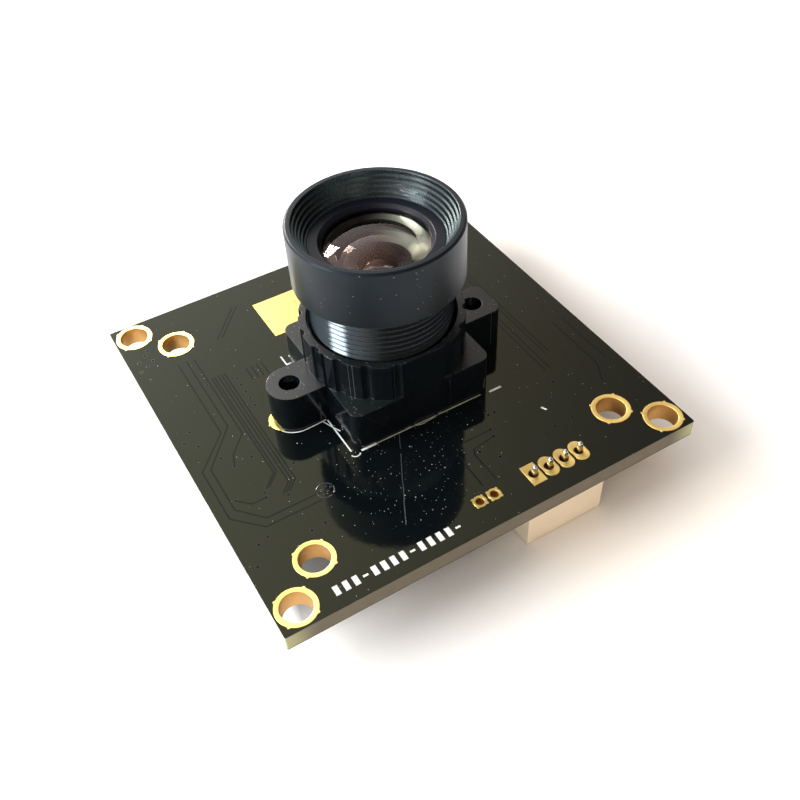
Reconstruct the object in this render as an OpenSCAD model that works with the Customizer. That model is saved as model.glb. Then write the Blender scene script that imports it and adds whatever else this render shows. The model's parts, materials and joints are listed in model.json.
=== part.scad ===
// Board-level camera module: a screw-focus lens in a holder on a square circuit board.
// Origin: centre of the mounting holes on the board's underside. +Z points out of the lens.

/* [Board] */
// Distance from an outer mounting hole's centre to the board's edges
mount_edge = 1.8; // [1.8:0.05:3]
// Board thickness
board_t = 1.6; // [1:0.1:2.4]
// Radius of the board's corners
board_corner_r = 0.15; // [0.1:0.05:1]
// Spacing of the outer mounting holes
outer_pitch = 34; // [33:0.2:38]
// How far the inner mounting holes lie inside the outer ones, along each edge
mount_step = 3; // [2.8:0.1:3.4]
// Finished radius of a mounting hole
mount_hole_r = 1.25; // [0.8:0.05:1.3]
// Width of the copper ring round a mounting hole
mount_ring_w = 0.42; // [0.3:0.02:0.42]
// Radius of the small nubs on each copper ring
nub_r = 0.13; // [0.08:0.01:0.13]
// Thickness of a pad above the board's face
pad_t = 0.05; // [0.03:0.01:0.1]
// Wall of a plated hole
plating_w = 0.12; // [0.06:0.01:0.15]
// Wall of a small plated hole
small_plating_w = 0.08; // [0.05:0.01:0.1]
// Width of a pad round a contact
header_pad_w = 1.3; // [1.2:0.02:1.36]
// Length of a pad round a contact
header_pad_len = 2.1; // [1.6:0.1:2.4]
// Radius of a test pad
test_pad_r = 0.58; // [0.48:0.02:0.6]
// Radius of a test pad's hole
test_hole_r = 0.34; // [0.2:0.01:0.38]
// Length of the bare ground pad along X
ground_pad_len = 7; // [4:0.2:9]
// Width of the bare ground pad along Y
ground_pad_w = 5.2; // [3:0.2:5.6]
// Distance from the ground pad to the board's back edge
ground_pad_edge = 3.75; // [3:0.05:5]
// Start of the ground pad, to the left of the lens axis
ground_pad_start = 6.1; // [5:0.1:9]
// Spacing of the test pads
test_pad_pitch = 1.36; // [1.3:0.02:1.6]
// Distance from the last test pad to the first contact
test_pad_gap = 3.73; // [2:0.01:6]

/* [Lens holder] */
// Offset of the lens axis from the board's centre
optical_x = 0.3; // [-0.5:0.1:1]
// Side of the holder's square foot
holder_side = 13.1; // [12.9:0.1:14.5]
// Height of the foot and its ears
foot_h = 3.75; // [3.3:0.05:4.4]
// Radius of the foot's upright corners
foot_corner_r = 0.9; // [0.3:0.1:1.5]
// Height of the collar's rim above the foot's underside
collar_top = 7.35; // [6.4:0.05:8.4]
// Radius of the collar
collar_r = 6.95; // [6.75:0.05:7.2]
// Number of grip notches round the collar
notch_count = 18; // [10:1:24]
// Radius of one grip notch
notch_r = 0.55; // [0.35:0.05:0.7]
// How deep a notch cuts into the collar
notch_depth = 0.28; // [0.1:0.02:0.35]
// Radius of the bore that takes the lens
bore_r = 6; // [5.8:0.05:6.05]
// Width of the bevel at the mouth of the bore
bore_bevel = 0.3; // [0.1:0.05:0.4]
// Distance between the two ear holes
ear_pitch = 18; // [17.6:0.1:19]
// Half width of an ear
ear_r = 1.95; // [1.7:0.05:2.3]
// Radius of the ear holes
ear_hole_r = 0.88; // [0.7:0.02:1]
// Radius of the corners of the squarer ear
ear_corner_r = 0.9; // [0.5:0.05:1.2]
// Side of the square chamber over the sensor
chamber_side = 10.8; // [10:0.1:11.2]
// Height of the chamber
chamber_h = 1.95; // [1.8:0.05:2.2]
// Thickness of the web between chamber and bore
web_t = 0.6; // [0.4:0.05:0.8]
// Half side of the square light opening in the web
window_half = 3.1; // [2.6:0.1:3.4]
// Side of the infrared filter
filter_side = 8.4; // [7.6:0.1:9.4]
// Thickness of the infrared filter
filter_t = 0.4; // [0.3:0.05:0.5]
// Spacing of the outer end of each plated screw slot
slot_pitch = 20; // [19.2:0.1:20.6]
// Width of the copper ring round a plated screw slot
slot_ring_w = 0.3; // [0.2:0.02:0.4]

/* [Holder screws] */
// Radial clearance between a holder screw and the holes it passes
screw_clearance = 0.03; // [0.02:0.01:0.1]
// Radius of a holder screw's head
screw_head_r = 1.75; // [1.5:0.05:1.9]
// Height of a holder screw's head
screw_head_h = 0.9; // [0.7:0.05:1.2]
// Length of a screw in the holder's ear
screw_bite = 1.8; // [1.4:0.1:2.2]
// Width of the cross recess
recess_w = 0.4; // [0.3:0.02:0.5]
// Depth of the cross recess
recess_depth = 0.5; // [0.3:0.05:0.6]

/* [Lens] */
// Radial clearance between the lens thread and the holder's bore
thread_clearance = 0.05; // [0.03:0.01:0.1]
// Thread pitch
thread_pitch = 0.5; // [0.35:0.05:0.75]
// Depth of the thread
thread_depth = 0.2; // [0.1:0.01:0.25]
// Height of the lens head's lower face above the board
head_lift = 11.4; // [10.4:0.1:12.4]
// Radius of the lens head
head_r = 7; // [6.8:0.05:7.4]
// Height of the lens head
head_h = 5.2; // [4.9:0.1:6]
// Bevel on the head's edges
head_bevel = 0.15; // [0.05:0.05:0.3]
// Length of the threaded shank
shank_len = 7.2; // [6.8:0.1:7.4]
// Plain length at the end of the shank, before the first ridge
thread_lead_in = 0.3; // [0.2:0.05:0.5]
// Width of the head's rim round the mouth of the hood
rim_w = 0.55; // [0.4:0.05:0.7]
// Number of baffle steps in the hood
baffle_count = 5; // [3:1:6]
// Depth of the hood down to the retaining ring
hood_depth = 1.9; // [1.6:0.1:2.2]
// Radius of the pocket that holds the front glass
front_pocket_r = 4.95; // [4.8:0.05:5.1]
// Radius of the pocket that holds the inner glasses
inner_pocket_r = 4.2; // [3.9:0.05:4.5]
// Radial clearance of a glass or ring in its pocket
glass_clearance = 0.03; // [0.02:0.01:0.06]
// Width of the ledge that carries the retaining ring, round the front glass's pocket
retainer_ledge = 0.45; // [0.3:0.05:0.6]
// How far the retaining ring reaches in over the front glass
retainer_lip = 0.65; // [0.4:0.05:0.9]
// Thickness of the retaining ring
retainer_t = 0.55; // [0.4:0.05:0.7]
// Edge thickness of the front glass
front_edge_t = 1.1; // [0.9:0.05:1.3]
// Height of the front glass's dome above its edge
front_dome_h = 0.8; // [0.5:0.05:1]
// Depth of the hollow under the front glass
front_hollow_h = 0.7; // [0.5:0.05:0.9]
// Radius of the hollow under the front glass
front_hollow_r = 3.2; // [2.8:0.1:3.6]
// Height of the conical spacer under the front glass
spacer_h = 1.5; // [1.3:0.1:1.8]
// Opening radius at the mouth of the conical spacer
spacer_mouth_r = 4.1; // [3.8:0.05:4.4]
// Height of the straight land at the foot of the conical spacer
spacer_land = 0.5; // [0.3:0.05:0.6]
// Opening radius at the foot of the conical spacer
spacer_open_r = 2.7; // [2.5:0.1:3]
// Edge thickness of the second glass
second_edge_t = 1.2; // [1:0.1:1.4]
// Height of the second glass's dome
second_dome_h = 0.5; // [0.3:0.05:0.6]
// Radius of the second glass's dome
second_dome_r = 1.6; // [1.4:0.1:1.7]
// Gap between the second glass's dome and the stepped baffle round it
baffle_gap = 0.15; // [0.1:0.05:0.2]
// Width of the stepped baffle's flat outer part
baffle_flat = 0.4; // [0.2:0.05:0.4]
// Number of steps in that baffle
inner_step_count = 4; // [2:1:6]
// Thickness of that baffle at its opening
baffle_lip = 0.06; // [0.04:0.01:0.1]
// Thickness of the aperture stop
stop_t = 0.2; // [0.1:0.05:0.3]
// Radius of the aperture
aperture_r = 1.3; // [0.9:0.05:1.6]
// Edge thickness of the cemented pair
doublet_t = 2.2; // [1.8:0.1:2.4]
// Edge thickness of the rear glass
rear_t = 1.4; // [1.1:0.1:1.6]
// Opening radius of the rear retaining ring
rear_open_r = 3.2; // [2.9:0.1:3.5]

/* [Image sensor] */
// Length of the sensor package along X
sensor_x = 8.6; // [7.6:0.1:9]
// Length of the sensor package along Y
sensor_y = 7.6; // [7:0.1:8.6]
// Height of the sensor package
sensor_h = 0.8; // [0.7:0.05:0.9]
// Wall of the sensor package
sensor_wall = 0.8; // [0.6:0.05:0.9]
// Floor of the sensor package
sensor_floor = 0.25; // [0.2:0.05:0.3]
// Thickness of the sensor die
die_t = 0.25; // [0.15:0.05:0.3]
// Gap between the die and the package wall
die_gap = 0.4; // [0.2:0.05:0.6]
// Thickness of the sensor's cover glass
cover_t = 0.4; // [0.3:0.05:0.45]
// Step between the package edge and the cover glass
cover_step = 0.3; // [0.2:0.05:0.5]

/* [Connector] */
// Number of contacts
pin_count = 4; // [3:1:5]
// Spacing of the contacts
pin_pitch = 1.5; // [1.4:0.05:1.6]
// Distance from the last contact to the board's right edge
pin_side_edge = 9.95; // [8.6:0.05:11.4]
// Distance from the contact row to the board's front edge
pin_row_edge = 2.6; // [2.2:0.05:3]
// Side of a square contact
pin_side = 0.4; // [0.3:0.02:0.44]
// Radial clearance between a contact's corners and its plated hole
pin_clearance = 0.12; // [0.1:0.01:0.14]
// How far the contacts lean over to one side of their holes
pin_shift = 0.08; // [0:0.01:0.08]
// Height of a contact's tip above the board
pin_tip_h = 0.95; // [0.6:0.05:1.2]
// Length of the small bevel on each contact's tip
pin_bevel = 0.12; // [0.05:0.01:0.2]
// Height of the connector below the board
socket_h = 4.6; // [4.2:0.1:6]
// Depth of the connector along Y
socket_depth = 3.5; // [3.2:0.1:3.8]
// Distance from the contact row to the outer face of the connector
socket_front = 1.8; // [1.6:0.05:2]
// Housing beyond the first and last contacts
socket_end = 1.5; // [1.3:0.05:1.7]
// Wall of the connector
socket_wall = 0.45; // [0.35:0.05:0.55]
// Thickness of the connector's base
socket_base_t = 1; // [0.8:0.1:1.4]
// Width of a latch slot in the connector's inner wall
latch_w = 1.1; // [0.8:0.1:1.4]
// How far the contacts stop short of the connector's mouth
pin_recess = 0.8; // [0.5:0.1:1.2]

/* [Chips] */
// Side of the processor's body
chip_side = 7; // [6:0.2:7.6]
// Height of the processor's body
chip_h = 1.4; // [1:0.1:1.6]
// Leads on each side of the processor
chip_leads = 12; // [8:1:13]
// Spacing of the processor's leads
chip_lead_pitch = 0.5; // [0.4:0.05:0.5]
// Width of a processor lead
chip_lead_w = 0.22; // [0.15:0.01:0.25]
// Length of the memory chip's body
flash_len = 4.9; // [4.6:0.1:5.4]
// Width of the memory chip's body
flash_w = 3.9; // [3.5:0.1:4.2]
// Height of the memory chip's body
flash_h = 1.45; // [1.2:0.05:1.7]
// Spacing of the memory chip's leads
flash_lead_pitch = 1.27; // [1:0.01:1.27]
// Width of a memory lead
flash_lead_w = 0.42; // [0.3:0.02:0.5]
// Length of a regulator's body
regulator_len = 2.9; // [2.6:0.1:3.2]
// Width of a regulator's body
regulator_w = 1.6; // [1.4:0.1:1.8]
// Height of a regulator's body
regulator_h = 1.1; // [0.9:0.05:1.3]
// Spacing of a regulator's paired leads
regulator_lead_pitch = 1.9; // [1.7:0.05:2]
// Width of a regulator lead
regulator_lead_w = 0.4; // [0.3:0.02:0.5]
// Thickness of every lead
lead_t = 0.15; // [0.1:0.01:0.2]
// How far the leads reach out from a body
lead_reach = 1; // [0.8:0.05:1.2]
// Gap between a chip's body and the board
chip_standoff = 0.1; // [0.05:0.01:0.15]
// Length of the crystal's case
crystal_len = 5; // [4.4:0.1:5.4]
// Width of the crystal's case
crystal_w = 3.2; // [2.8:0.1:3.4]
// Height of the crystal's case
crystal_h = 1.1; // [0.8:0.1:1.4]
// Radius of the crystal case's corners
crystal_corner_r = 0.4; // [0.2:0.05:0.8]
// Side of the power inductor
inductor_side = 3; // [2.6:0.1:3.6]
// Height of the power inductor
inductor_h = 1.2; // [1:0.1:1.6]
// Radius of the power inductor's corners
inductor_corner_r = 0.4; // [0.2:0.05:0.8]
// Radius of the shallow hollow round the inductor's coil
inductor_hollow_r = 0.96; // [0.7:0.02:1.2]
// Depth of that hollow
inductor_hollow_depth = 0.12; // [0.05:0.01:0.3]
// Length of a capacitor or a resistor
passive_len = 1.6; // [1.2:0.1:1.7]
// Width of a capacitor or a resistor
passive_w = 0.8; // [0.6:0.05:0.9]
// Height of a capacitor
capacitor_h = 0.8; // [0.5:0.05:0.9]
// Height of a resistor
resistor_h = 0.45; // [0.35:0.05:0.55]
// Length of a soldered end cap
end_cap = 0.3; // [0.2:0.02:0.4]
// Thickness of the plating on an end cap
end_plating = 0.02; // [0.01:0.01:0.04]

/* [Hidden] */
$fn = 64;
cut = 0.5; // how far a cutter runs past the face it opens
top = board_t;
board_side = outer_pitch + 2 * mount_edge;
inner_pitch = outer_pitch - 2 * mount_step;
mount_ring_r = mount_hole_r + mount_ring_w;
mount_drill_r = mount_hole_r + plating_w;
mount_points = [for (pitch = [outer_pitch, inner_pitch], x = [-1, 1], y = [-1, 1]) [x, y] * pitch / 2];

ear_x = ear_pitch / 2;
slot_r = ear_hole_r + screw_clearance;
slot_drill_r = slot_r + plating_w;
slot_end_x = slot_pitch / 2;
slot_ring_r = slot_drill_r + slot_ring_w;

pin_row_y = -board_side / 2 + pin_row_edge;
pin_first_x = board_side / 2 - pin_side_edge - (pin_count - 1) * pin_pitch;
header_hole_r = pin_side / 2 * sqrt(2) + pin_clearance;
header_drill_r = header_hole_r + small_plating_w;
test_points = [for (i = [0, 1]) [pin_first_x - test_pad_gap - i * test_pad_pitch, pin_row_y]];
test_drill_r = test_hole_r + small_plating_w;
ground_pad_at = [optical_x - ground_pad_start, board_side / 2 - ground_pad_edge - ground_pad_w];

thread_flank = 0.45; // share of the pitch that one flank of a ridge takes
baffle_slope = 0.35; // share of a baffle step's width that its wall leans in
crest_r = bore_r - thread_clearance;
root_r = crest_r - thread_depth;
head_bottom = top + head_lift;
head_top = head_bottom + head_h;
shank_bottom = head_bottom - shank_len;
retainer_top = head_top - hood_depth;
hood_r = head_r - rim_w;
retainer_r = front_pocket_r + retainer_ledge;
retainer_open_r = front_pocket_r - retainer_lip;
front_seat = retainer_top - retainer_t;
spacer_top = front_seat - front_edge_t;
second_top = spacer_top - spacer_h;
stop_top = second_top - second_edge_t;
doublet_top = stop_top - stop_t;
rear_top = doublet_top - doublet_t;
rear_ring_top = rear_top - rear_t;
front_glass_r = front_pocket_r - glass_clearance;
inner_glass_r = inner_pocket_r - glass_clearance;

socket_len = (pin_count - 1) * pin_pitch + 2 * socket_end;
socket_x = pin_first_x - socket_end;
socket_y = pin_row_y - socket_front;

body_draft = 0.1; // how far a chip body's sides lean in, as a share of its height
knee_share = 0.4; // where a lead turns down, as a share of its reach
chip_at = [1.2, 3.4];
flash_at = [-9.6, 6.6];
crystal_at = [10.6, 6.4];
inductor_at = [-11.2, -9.4];
regulator_spots = [[-6.2, -10.4], [-2, -10.4], [12.6, -3.4]];
capacitor_spots = [
    [-4.6, 0.6, 90], [-4.6, 3.4, 90], [-4.6, 6.2, 90], [0.2, 9.6, 0], [3, 9.6, 0], [7, 0.8, 90],
    [7, 3.6, 90], [-8.6, -6.6, 0], [-5.8, -6.8, 0], [-2.8, -6.8, 0], [-8.4, -13.2, 0], [-5.4, -13.2, 0],
    [-2.4, -13.2, 0], [12.6, 0.8, 0], [13.8, 6.4, 90], [7.2, 8.8, 0], [6.8, -11.4, 0], [9.6, -11.4, 0]
];
resistor_spots = [
    [-0.4, -2.8, 0], [2.2, -2.8, 0], [-10.6, 2.8, 90], [-12, 2.8, 90], [-9.2, 11.2, 0], [-6.4, 11.2, 0],
    [-3.6, 12.6, 0], [0.2, 12.6, 0], [3.4, 12.6, 0], [11.2, 10.4, 0], [3.8, -11.4, 0], [12.8, -7.6, 90]
];

// ---- shared shapes ----

module rounded_outline(size, r) {
    square([size.x - 2 * r, size.y], center = true);
    square([size.x, size.y - 2 * r], center = true);
    for (x = [-1, 1], y = [-1, 1]) translate([x * (size.x / 2 - r), y * (size.y / 2 - r)]) circle(r);
}

module rounded_block(size, r, h) {
    linear_extrude(height = h) rounded_outline(size, r);
}

module centred_box(size, z) {
    translate([-size.x / 2, -size.y / 2, z]) cube(size);
}

module at_axis() {
    translate([optical_x, 0, 0]) children();
}

// Ring pad with four small nubs, flat on a face of the board
module nubbed_ring(r, hole_r) {
    difference() {
        union() {
            cylinder(r = r, h = pad_t);
            for (a = [45 : 90 : 315]) rotate(a) translate([r, 0, 0]) cylinder(r = nub_r, h = pad_t);
        }
        translate([0, 0, -cut]) cylinder(r = hole_r, h = pad_t + 2 * cut);
    }
}

module both_faces() {
    translate([0, 0, top]) children();
    translate([0, 0, -pad_t]) children();
}

module ring(r, hole_r, z, h) {
    translate([0, 0, z])
        difference() {
            cylinder(r = r, h = h);
            translate([0, 0, -cut]) cylinder(r = hole_r, h = h + 2 * cut);
        }
}

// Wall of a plated hole, with its pad on both faces as the children
module plated_hole(drill_r, hole_r) {
    ring(drill_r, hole_r, 0, board_t);
    both_faces() children();
}

// Straight slot from one screw position to the next
module slot_shape(r, h) {
    for (x = [ear_x, slot_end_x]) translate([x, 0, 0]) cylinder(r = r, h = h);
    translate([ear_x, -r, 0]) cube([slot_end_x - ear_x, 2 * r, h]);
}

module both_sides() {
    at_axis() for (a = [0, 180]) rotate(a) children();
}

// Cap of a sphere whose rim has radius r and whose height is h
module dome(r, h) {
    ball_r = (r * r + h * h) / (2 * h);
    intersection() {
        translate([0, 0, h - ball_r]) sphere(ball_r);
        cylinder(r = r, h = h);
    }
}

// ---- board and plating ----

module circuit_board() color([0.05, 0.06, 0.05])
    difference() {
        rounded_block([board_side, board_side], board_corner_r, board_t);
        for (p = mount_points)
            translate([p.x, p.y, -cut]) cylinder(r = mount_drill_r, h = board_t + 2 * cut);
        for (i = [0 : pin_count - 1])
            translate([pin_first_x + i * pin_pitch, pin_row_y, -cut])
                cylinder(r = header_drill_r, h = board_t + 2 * cut);
        for (p = test_points)
            translate([p.x, p.y, -cut]) cylinder(r = test_drill_r, h = board_t + 2 * cut);
        both_sides() translate([0, 0, -cut]) slot_shape(slot_drill_r, board_t + 2 * cut);
    }

module mount_hole_platings() color([0.85, 0.68, 0.35])
    for (p = mount_points)
        translate([p.x, p.y, 0])
            plated_hole(mount_drill_r, mount_hole_r) nubbed_ring(mount_ring_r, mount_hole_r);

module header_pad(square_end) {
    straight = header_pad_len - header_pad_w;
    difference() {
        union() {
            centred_box([header_pad_w, square_end ? header_pad_len : straight, pad_t], 0);
            if (!square_end)
                for (y = [-1, 1]) translate([0, y * straight / 2, 0]) cylinder(r = header_pad_w / 2, h = pad_t);
        }
        translate([0, 0, -cut]) cylinder(r = header_hole_r, h = pad_t + 2 * cut);
    }
}

module header_pads() color([0.85, 0.68, 0.35])
    for (i = [0 : pin_count - 1])
        translate([pin_first_x + i * pin_pitch, pin_row_y, 0])
            plated_hole(header_drill_r, header_hole_r) header_pad(i == 0);

module test_pads() color([0.85, 0.68, 0.35])
    for (p = test_points)
        translate([p.x, p.y, 0])
            plated_hole(test_drill_r, test_hole_r) nubbed_ring(test_pad_r, test_hole_r);

module ground_pad() color([0.9, 0.78, 0.45])
    translate([ground_pad_at.x, ground_pad_at.y, top]) cube([ground_pad_len, ground_pad_w, pad_t]);

// Ring pad round a slot, with nubs round its outer end
module slot_ring() {
    difference() {
        union() {
            slot_shape(slot_ring_r, pad_t);
            for (a = [-90, 0, 90])
                translate([slot_end_x, 0, 0]) rotate(a) translate([slot_ring_r, 0, 0]) cylinder(r = nub_r, h = pad_t);
        }
        translate([0, 0, -cut]) slot_shape(slot_r, pad_t + 2 * cut);
    }
}

module holder_slot_platings() color([0.85, 0.68, 0.35])
    both_sides() {
        difference() {
            slot_shape(slot_drill_r, board_t);
            translate([0, 0, -cut]) slot_shape(slot_r, board_t + 2 * cut);
        }
        both_faces() slot_ring();
    }

// ---- lens holder ----

// Square foot with one round-ended ear and one squarer ear
module foot_outline() {
    ear_reach = ear_x + ear_r;
    rounded_outline([holder_side, holder_side], foot_corner_r);
    translate([-ear_x, -ear_r]) square([ear_x, 2 * ear_r]);
    translate([-ear_x, 0]) circle(ear_r);
    translate([ear_reach / 2, 0]) rounded_outline([ear_reach, 2 * ear_r], ear_corner_r);
}

// Notched collar, trimmed flush with the foot's sides and left whole over the ears
module collar_outline() {
    intersection() {
        difference() {
            circle(collar_r);
            for (i = [0 : notch_count - 1])
                rotate((i + 0.5) * 360 / notch_count)
                    translate([collar_r + notch_r - notch_depth, 0]) circle(notch_r);
        }
        union() {
            square([holder_side, holder_side], center = true);
            square([3 * collar_r, 2 * ear_r], center = true);
        }
    }
}

// Bore for the lens with a bevelled mouth
module bore_cutter(floor_z, mouth_z) {
    rotate_extrude()
        polygon([
            [0, floor_z], [bore_r, floor_z], [bore_r, mouth_z - bore_bevel],
            [bore_r + bore_bevel + cut, mouth_z + cut], [0, mouth_z + cut]
        ]);
}

module lens_holder() color([0.09, 0.09, 0.1])
    translate([optical_x, 0, top + pad_t])
        difference() {
            union() {
                linear_extrude(height = foot_h) foot_outline();
                translate([0, 0, foot_h]) linear_extrude(height = collar_top - foot_h) collar_outline();
            }
            centred_box([chamber_side, chamber_side, chamber_h + cut], -cut);
            centred_box([2 * window_half, 2 * window_half, collar_top], 0);
            bore_cutter(chamber_h + web_t, collar_top);
            for (x = [-1, 1])
                translate([x * ear_x, 0, -cut]) cylinder(r = ear_hole_r, h = foot_h + 2 * cut);
        }

module infrared_filter() color([0.75, 0.45, 0.5, 0.6])
    at_axis() centred_box([filter_side, filter_side, filter_t], top + pad_t + chamber_h - filter_t);

module holder_screws() color([0.7, 0.7, 0.72]) {
    shank_r = ear_hole_r - screw_clearance;
    seat = -pad_t;
    both_sides()
        translate([ear_x, 0, 0])
            difference() {
                union() {
                    translate([0, 0, seat]) cylinder(r = shank_r, h = top + screw_bite - seat);
                    translate([0, 0, seat - screw_head_h]) cylinder(r = screw_head_r, h = screw_head_h);
                    translate([0, 0, top + screw_bite]) cylinder(r1 = shank_r, r2 = shank_r / 2, h = shank_r);
                }
                for (a = [0, 90])
                    rotate(a)
                        centred_box([2 * shank_r, recess_w, recess_depth + cut], seat - screw_head_h - cut);
            }
}

// ---- lens ----

// Half section of the threaded shank: one ridge for each turn, with a narrow flat between ridges
function ridge_points(r, depth, pitch, z, count) = [
    for (i = [0 : count - 1], k = [0 : 2])
        [k == 1 ? r : r - depth, z + (i + k * thread_flank) * pitch]
];

// Steps of the hood, from the mouth down to the retaining ring
function hood_points(r1, r2, z1, z2, count) = [
    for (i = [0 : count - 1], k = [0, 1])
        let (r = r1 + (r2 - r1) * i / count)
        [k == 0 ? r : r - (r1 - r2) / count * baffle_slope, z1 + (z2 - z1) * (i + k) / count]
];

module lens_barrel() color([0.11, 0.11, 0.12]) {
    turns = floor((shank_len - 2 * thread_lead_in - thread_pitch / 2) / thread_pitch);
    thread_start = shank_bottom + thread_lead_in;
    outline = concat(
        [[inner_pocket_r, shank_bottom], [root_r - head_bevel, shank_bottom]],
        ridge_points(crest_r, thread_depth, thread_pitch, thread_start, turns),
        [
            [root_r, head_bottom],
            [head_r - head_bevel, head_bottom],
            [head_r, head_bottom + head_bevel],
            [head_r, head_top - head_bevel],
            [head_r - head_bevel, head_top]
        ],
        hood_points(hood_r, retainer_r + glass_clearance, head_top, retainer_top, baffle_count),
        [
            [retainer_r + glass_clearance, retainer_top],
            [retainer_r + glass_clearance, front_seat],
            [front_pocket_r, front_seat],
            [front_pocket_r, second_top],
            [inner_pocket_r, second_top]
        ]
    );
    at_axis() rotate_extrude() polygon(outline);
}

module retaining_ring() color([0.1, 0.1, 0.1])
    at_axis()
        rotate_extrude()
            polygon([
                [retainer_open_r, front_seat], [retainer_r, front_seat], [retainer_r, retainer_top],
                [retainer_open_r + retainer_t / 2, retainer_top],
                [retainer_open_r, front_seat + retainer_t / 2]
            ]);

module front_element() color([0.5, 0.42, 0.4, 0.5])
    at_axis() translate([0, 0, spacer_top])
        difference() {
            union() {
                cylinder(r = front_glass_r, h = front_edge_t);
                translate([0, 0, front_edge_t]) dome(retainer_open_r - glass_clearance, front_dome_h);
            }
            dome(front_hollow_r, front_hollow_h);
        }

module conical_spacer() color([0.62, 0.64, 0.58])
    at_axis()
        rotate_extrude()
            polygon([
                [spacer_open_r, second_top], [front_glass_r, second_top], [front_glass_r, spacer_top],
                [spacer_mouth_r, spacer_top], [spacer_open_r, second_top + spacer_land]
            ]);

module second_element() color([0.45, 0.4, 0.42, 0.5])
    at_axis() translate([0, 0, stop_top])
        difference() {
            union() {
                cylinder(r = inner_glass_r, h = second_edge_t);
                translate([0, 0, second_edge_t]) dome(second_dome_r, second_dome_h);
            }
            dome(second_dome_r, second_dome_h / 2);
        }

// Black ring that steps down from the conical spacer's foot to the second glass's dome
module stepped_baffle() color([0.08, 0.08, 0.08]) {
    outer_r = spacer_open_r - glass_clearance;
    open_r = second_dome_r + baffle_gap;
    high = second_top + spacer_land;
    low = second_top + baffle_lip;
    at_axis()
        rotate_extrude()
            polygon(concat(
                [[outer_r, second_top], [outer_r, high]],
                hood_points(outer_r - baffle_flat, open_r, high, low, inner_step_count),
                [[open_r, low], [open_r, second_top]]
            ));
}

module aperture_stop() color([0.08, 0.08, 0.08])
    at_axis() ring(inner_glass_r, aperture_r, doublet_top, stop_t);

module cemented_pair() color([0.6, 0.66, 0.68, 0.5])
    at_axis() translate([0, 0, rear_top])
        difference() {
            cylinder(r = inner_glass_r, h = doublet_t);
            dome(second_dome_r, second_dome_h / 2);
        }

module rear_element() color([0.6, 0.66, 0.68, 0.5])
    at_axis() translate([0, 0, rear_ring_top])
        difference() {
            cylinder(r = inner_glass_r, h = rear_t);
            dome(rear_open_r - glass_clearance, second_dome_h / 2);
        }

module rear_retaining_ring() color([0.1, 0.1, 0.1])
    at_axis() ring(inner_glass_r, rear_open_r, shank_bottom, rear_ring_top - shank_bottom);

// ---- image sensor ----

module sensor_package() color([0.2, 0.2, 0.22])
    at_axis()
        difference() {
            centred_box([sensor_x, sensor_y, sensor_h], top);
            centred_box(
                [sensor_x - 2 * sensor_wall, sensor_y - 2 * sensor_wall, sensor_h],
                top + sensor_floor
            );
        }

module sensor_die() color([0.25, 0.3, 0.4]) {
    inset = 2 * (sensor_wall + die_gap);
    at_axis() centred_box([sensor_x - inset, sensor_y - inset, die_t], top + sensor_floor);
}

module sensor_cover_glass() color([0.7, 0.75, 0.8, 0.4])
    at_axis()
        centred_box([sensor_x - 2 * cover_step, sensor_y - 2 * cover_step, cover_t], top + sensor_h);

// ---- connector ----

module connector_housing() color([0.93, 0.88, 0.8])
    difference() {
        translate([socket_x, socket_y, -socket_h - pad_t]) cube([socket_len, socket_depth, socket_h]);
        translate([socket_x + socket_wall, socket_y + socket_wall, -socket_h - pad_t - cut])
            cube([
                socket_len - 2 * socket_wall,
                socket_depth - 2 * socket_wall,
                socket_h - socket_base_t + cut
            ]);
        for (x = [socket_x + socket_end - latch_w / 2, socket_x + socket_len - socket_end - latch_w / 2])
            translate([x, socket_y + socket_depth - socket_wall - cut, -socket_h - pad_t - cut])
                cube([latch_w, socket_wall + 2 * cut, socket_h - socket_base_t + cut]);
        for (i = [0 : pin_count - 1])
            translate([pin_first_x + pin_shift + i * pin_pitch, pin_row_y, 0])
                centred_box([pin_side, pin_side, socket_base_t + 2 * cut], -socket_base_t - pad_t - cut);
    }

module connector_pins() color([0.82, 0.82, 0.8]) {
    low = -socket_h - pad_t + pin_recess;
    high = top + pin_tip_h;
    for (i = [0 : pin_count - 1])
        translate([pin_first_x + pin_shift + i * pin_pitch, pin_row_y, 0])
            intersection() {
                centred_box([pin_side, pin_side, high - low], low);
                rotate([90, 0, 0])
                    linear_extrude(height = pin_side, center = true)
                        bevelled_strip(pin_side / 2, low, high);
                rotate([90, 0, 90])
                    linear_extrude(height = pin_side, center = true)
                        bevelled_strip(pin_side / 2, low, high);
            }
}

module bevelled_strip(half, low, high) {
    tip = half - pin_bevel;
    polygon([
        [-tip, low], [tip, low], [half, low + pin_bevel], [half, high - pin_bevel],
        [tip, high], [-tip, high], [-half, high - pin_bevel], [-half, low + pin_bevel]
    ]);
}

// ---- chips on the underside ----

// Moulded body with a draft on its upper and lower halves, hanging below the board
module moulded_body(len, w, h) {
    draft = h * body_draft;
    for (part = [[0, 0.5], [0.5, 1]])
        moulded_half(len, w, h, draft, part);
}

// One half of a moulded body: an extruded outline crossed with its end view
module moulded_half(len, w, h, draft, part) {
    z0 = -chip_standoff - part[0] * h;
    z1 = -chip_standoff - part[1] * h;
    in0 = part[0] == 0 ? draft : 0;
    in1 = part[0] == 0 ? 0 : draft;
    intersection() {
        rotate([90, 0, 0])
            linear_extrude(height = w, center = true)
                polygon([
                    [-len / 2 + in0, z0], [len / 2 - in0, z0],
                    [len / 2 - in1, z1], [-len / 2 + in1, z1]
                ]);
        rotate([90, 0, 90])
            linear_extrude(height = len, center = true)
                polygon([
                    [-w / 2 + in0, z0], [w / 2 - in0, z0],
                    [w / 2 - in1, z1], [-w / 2 + in1, z1]
                ]);
    }
}

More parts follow.
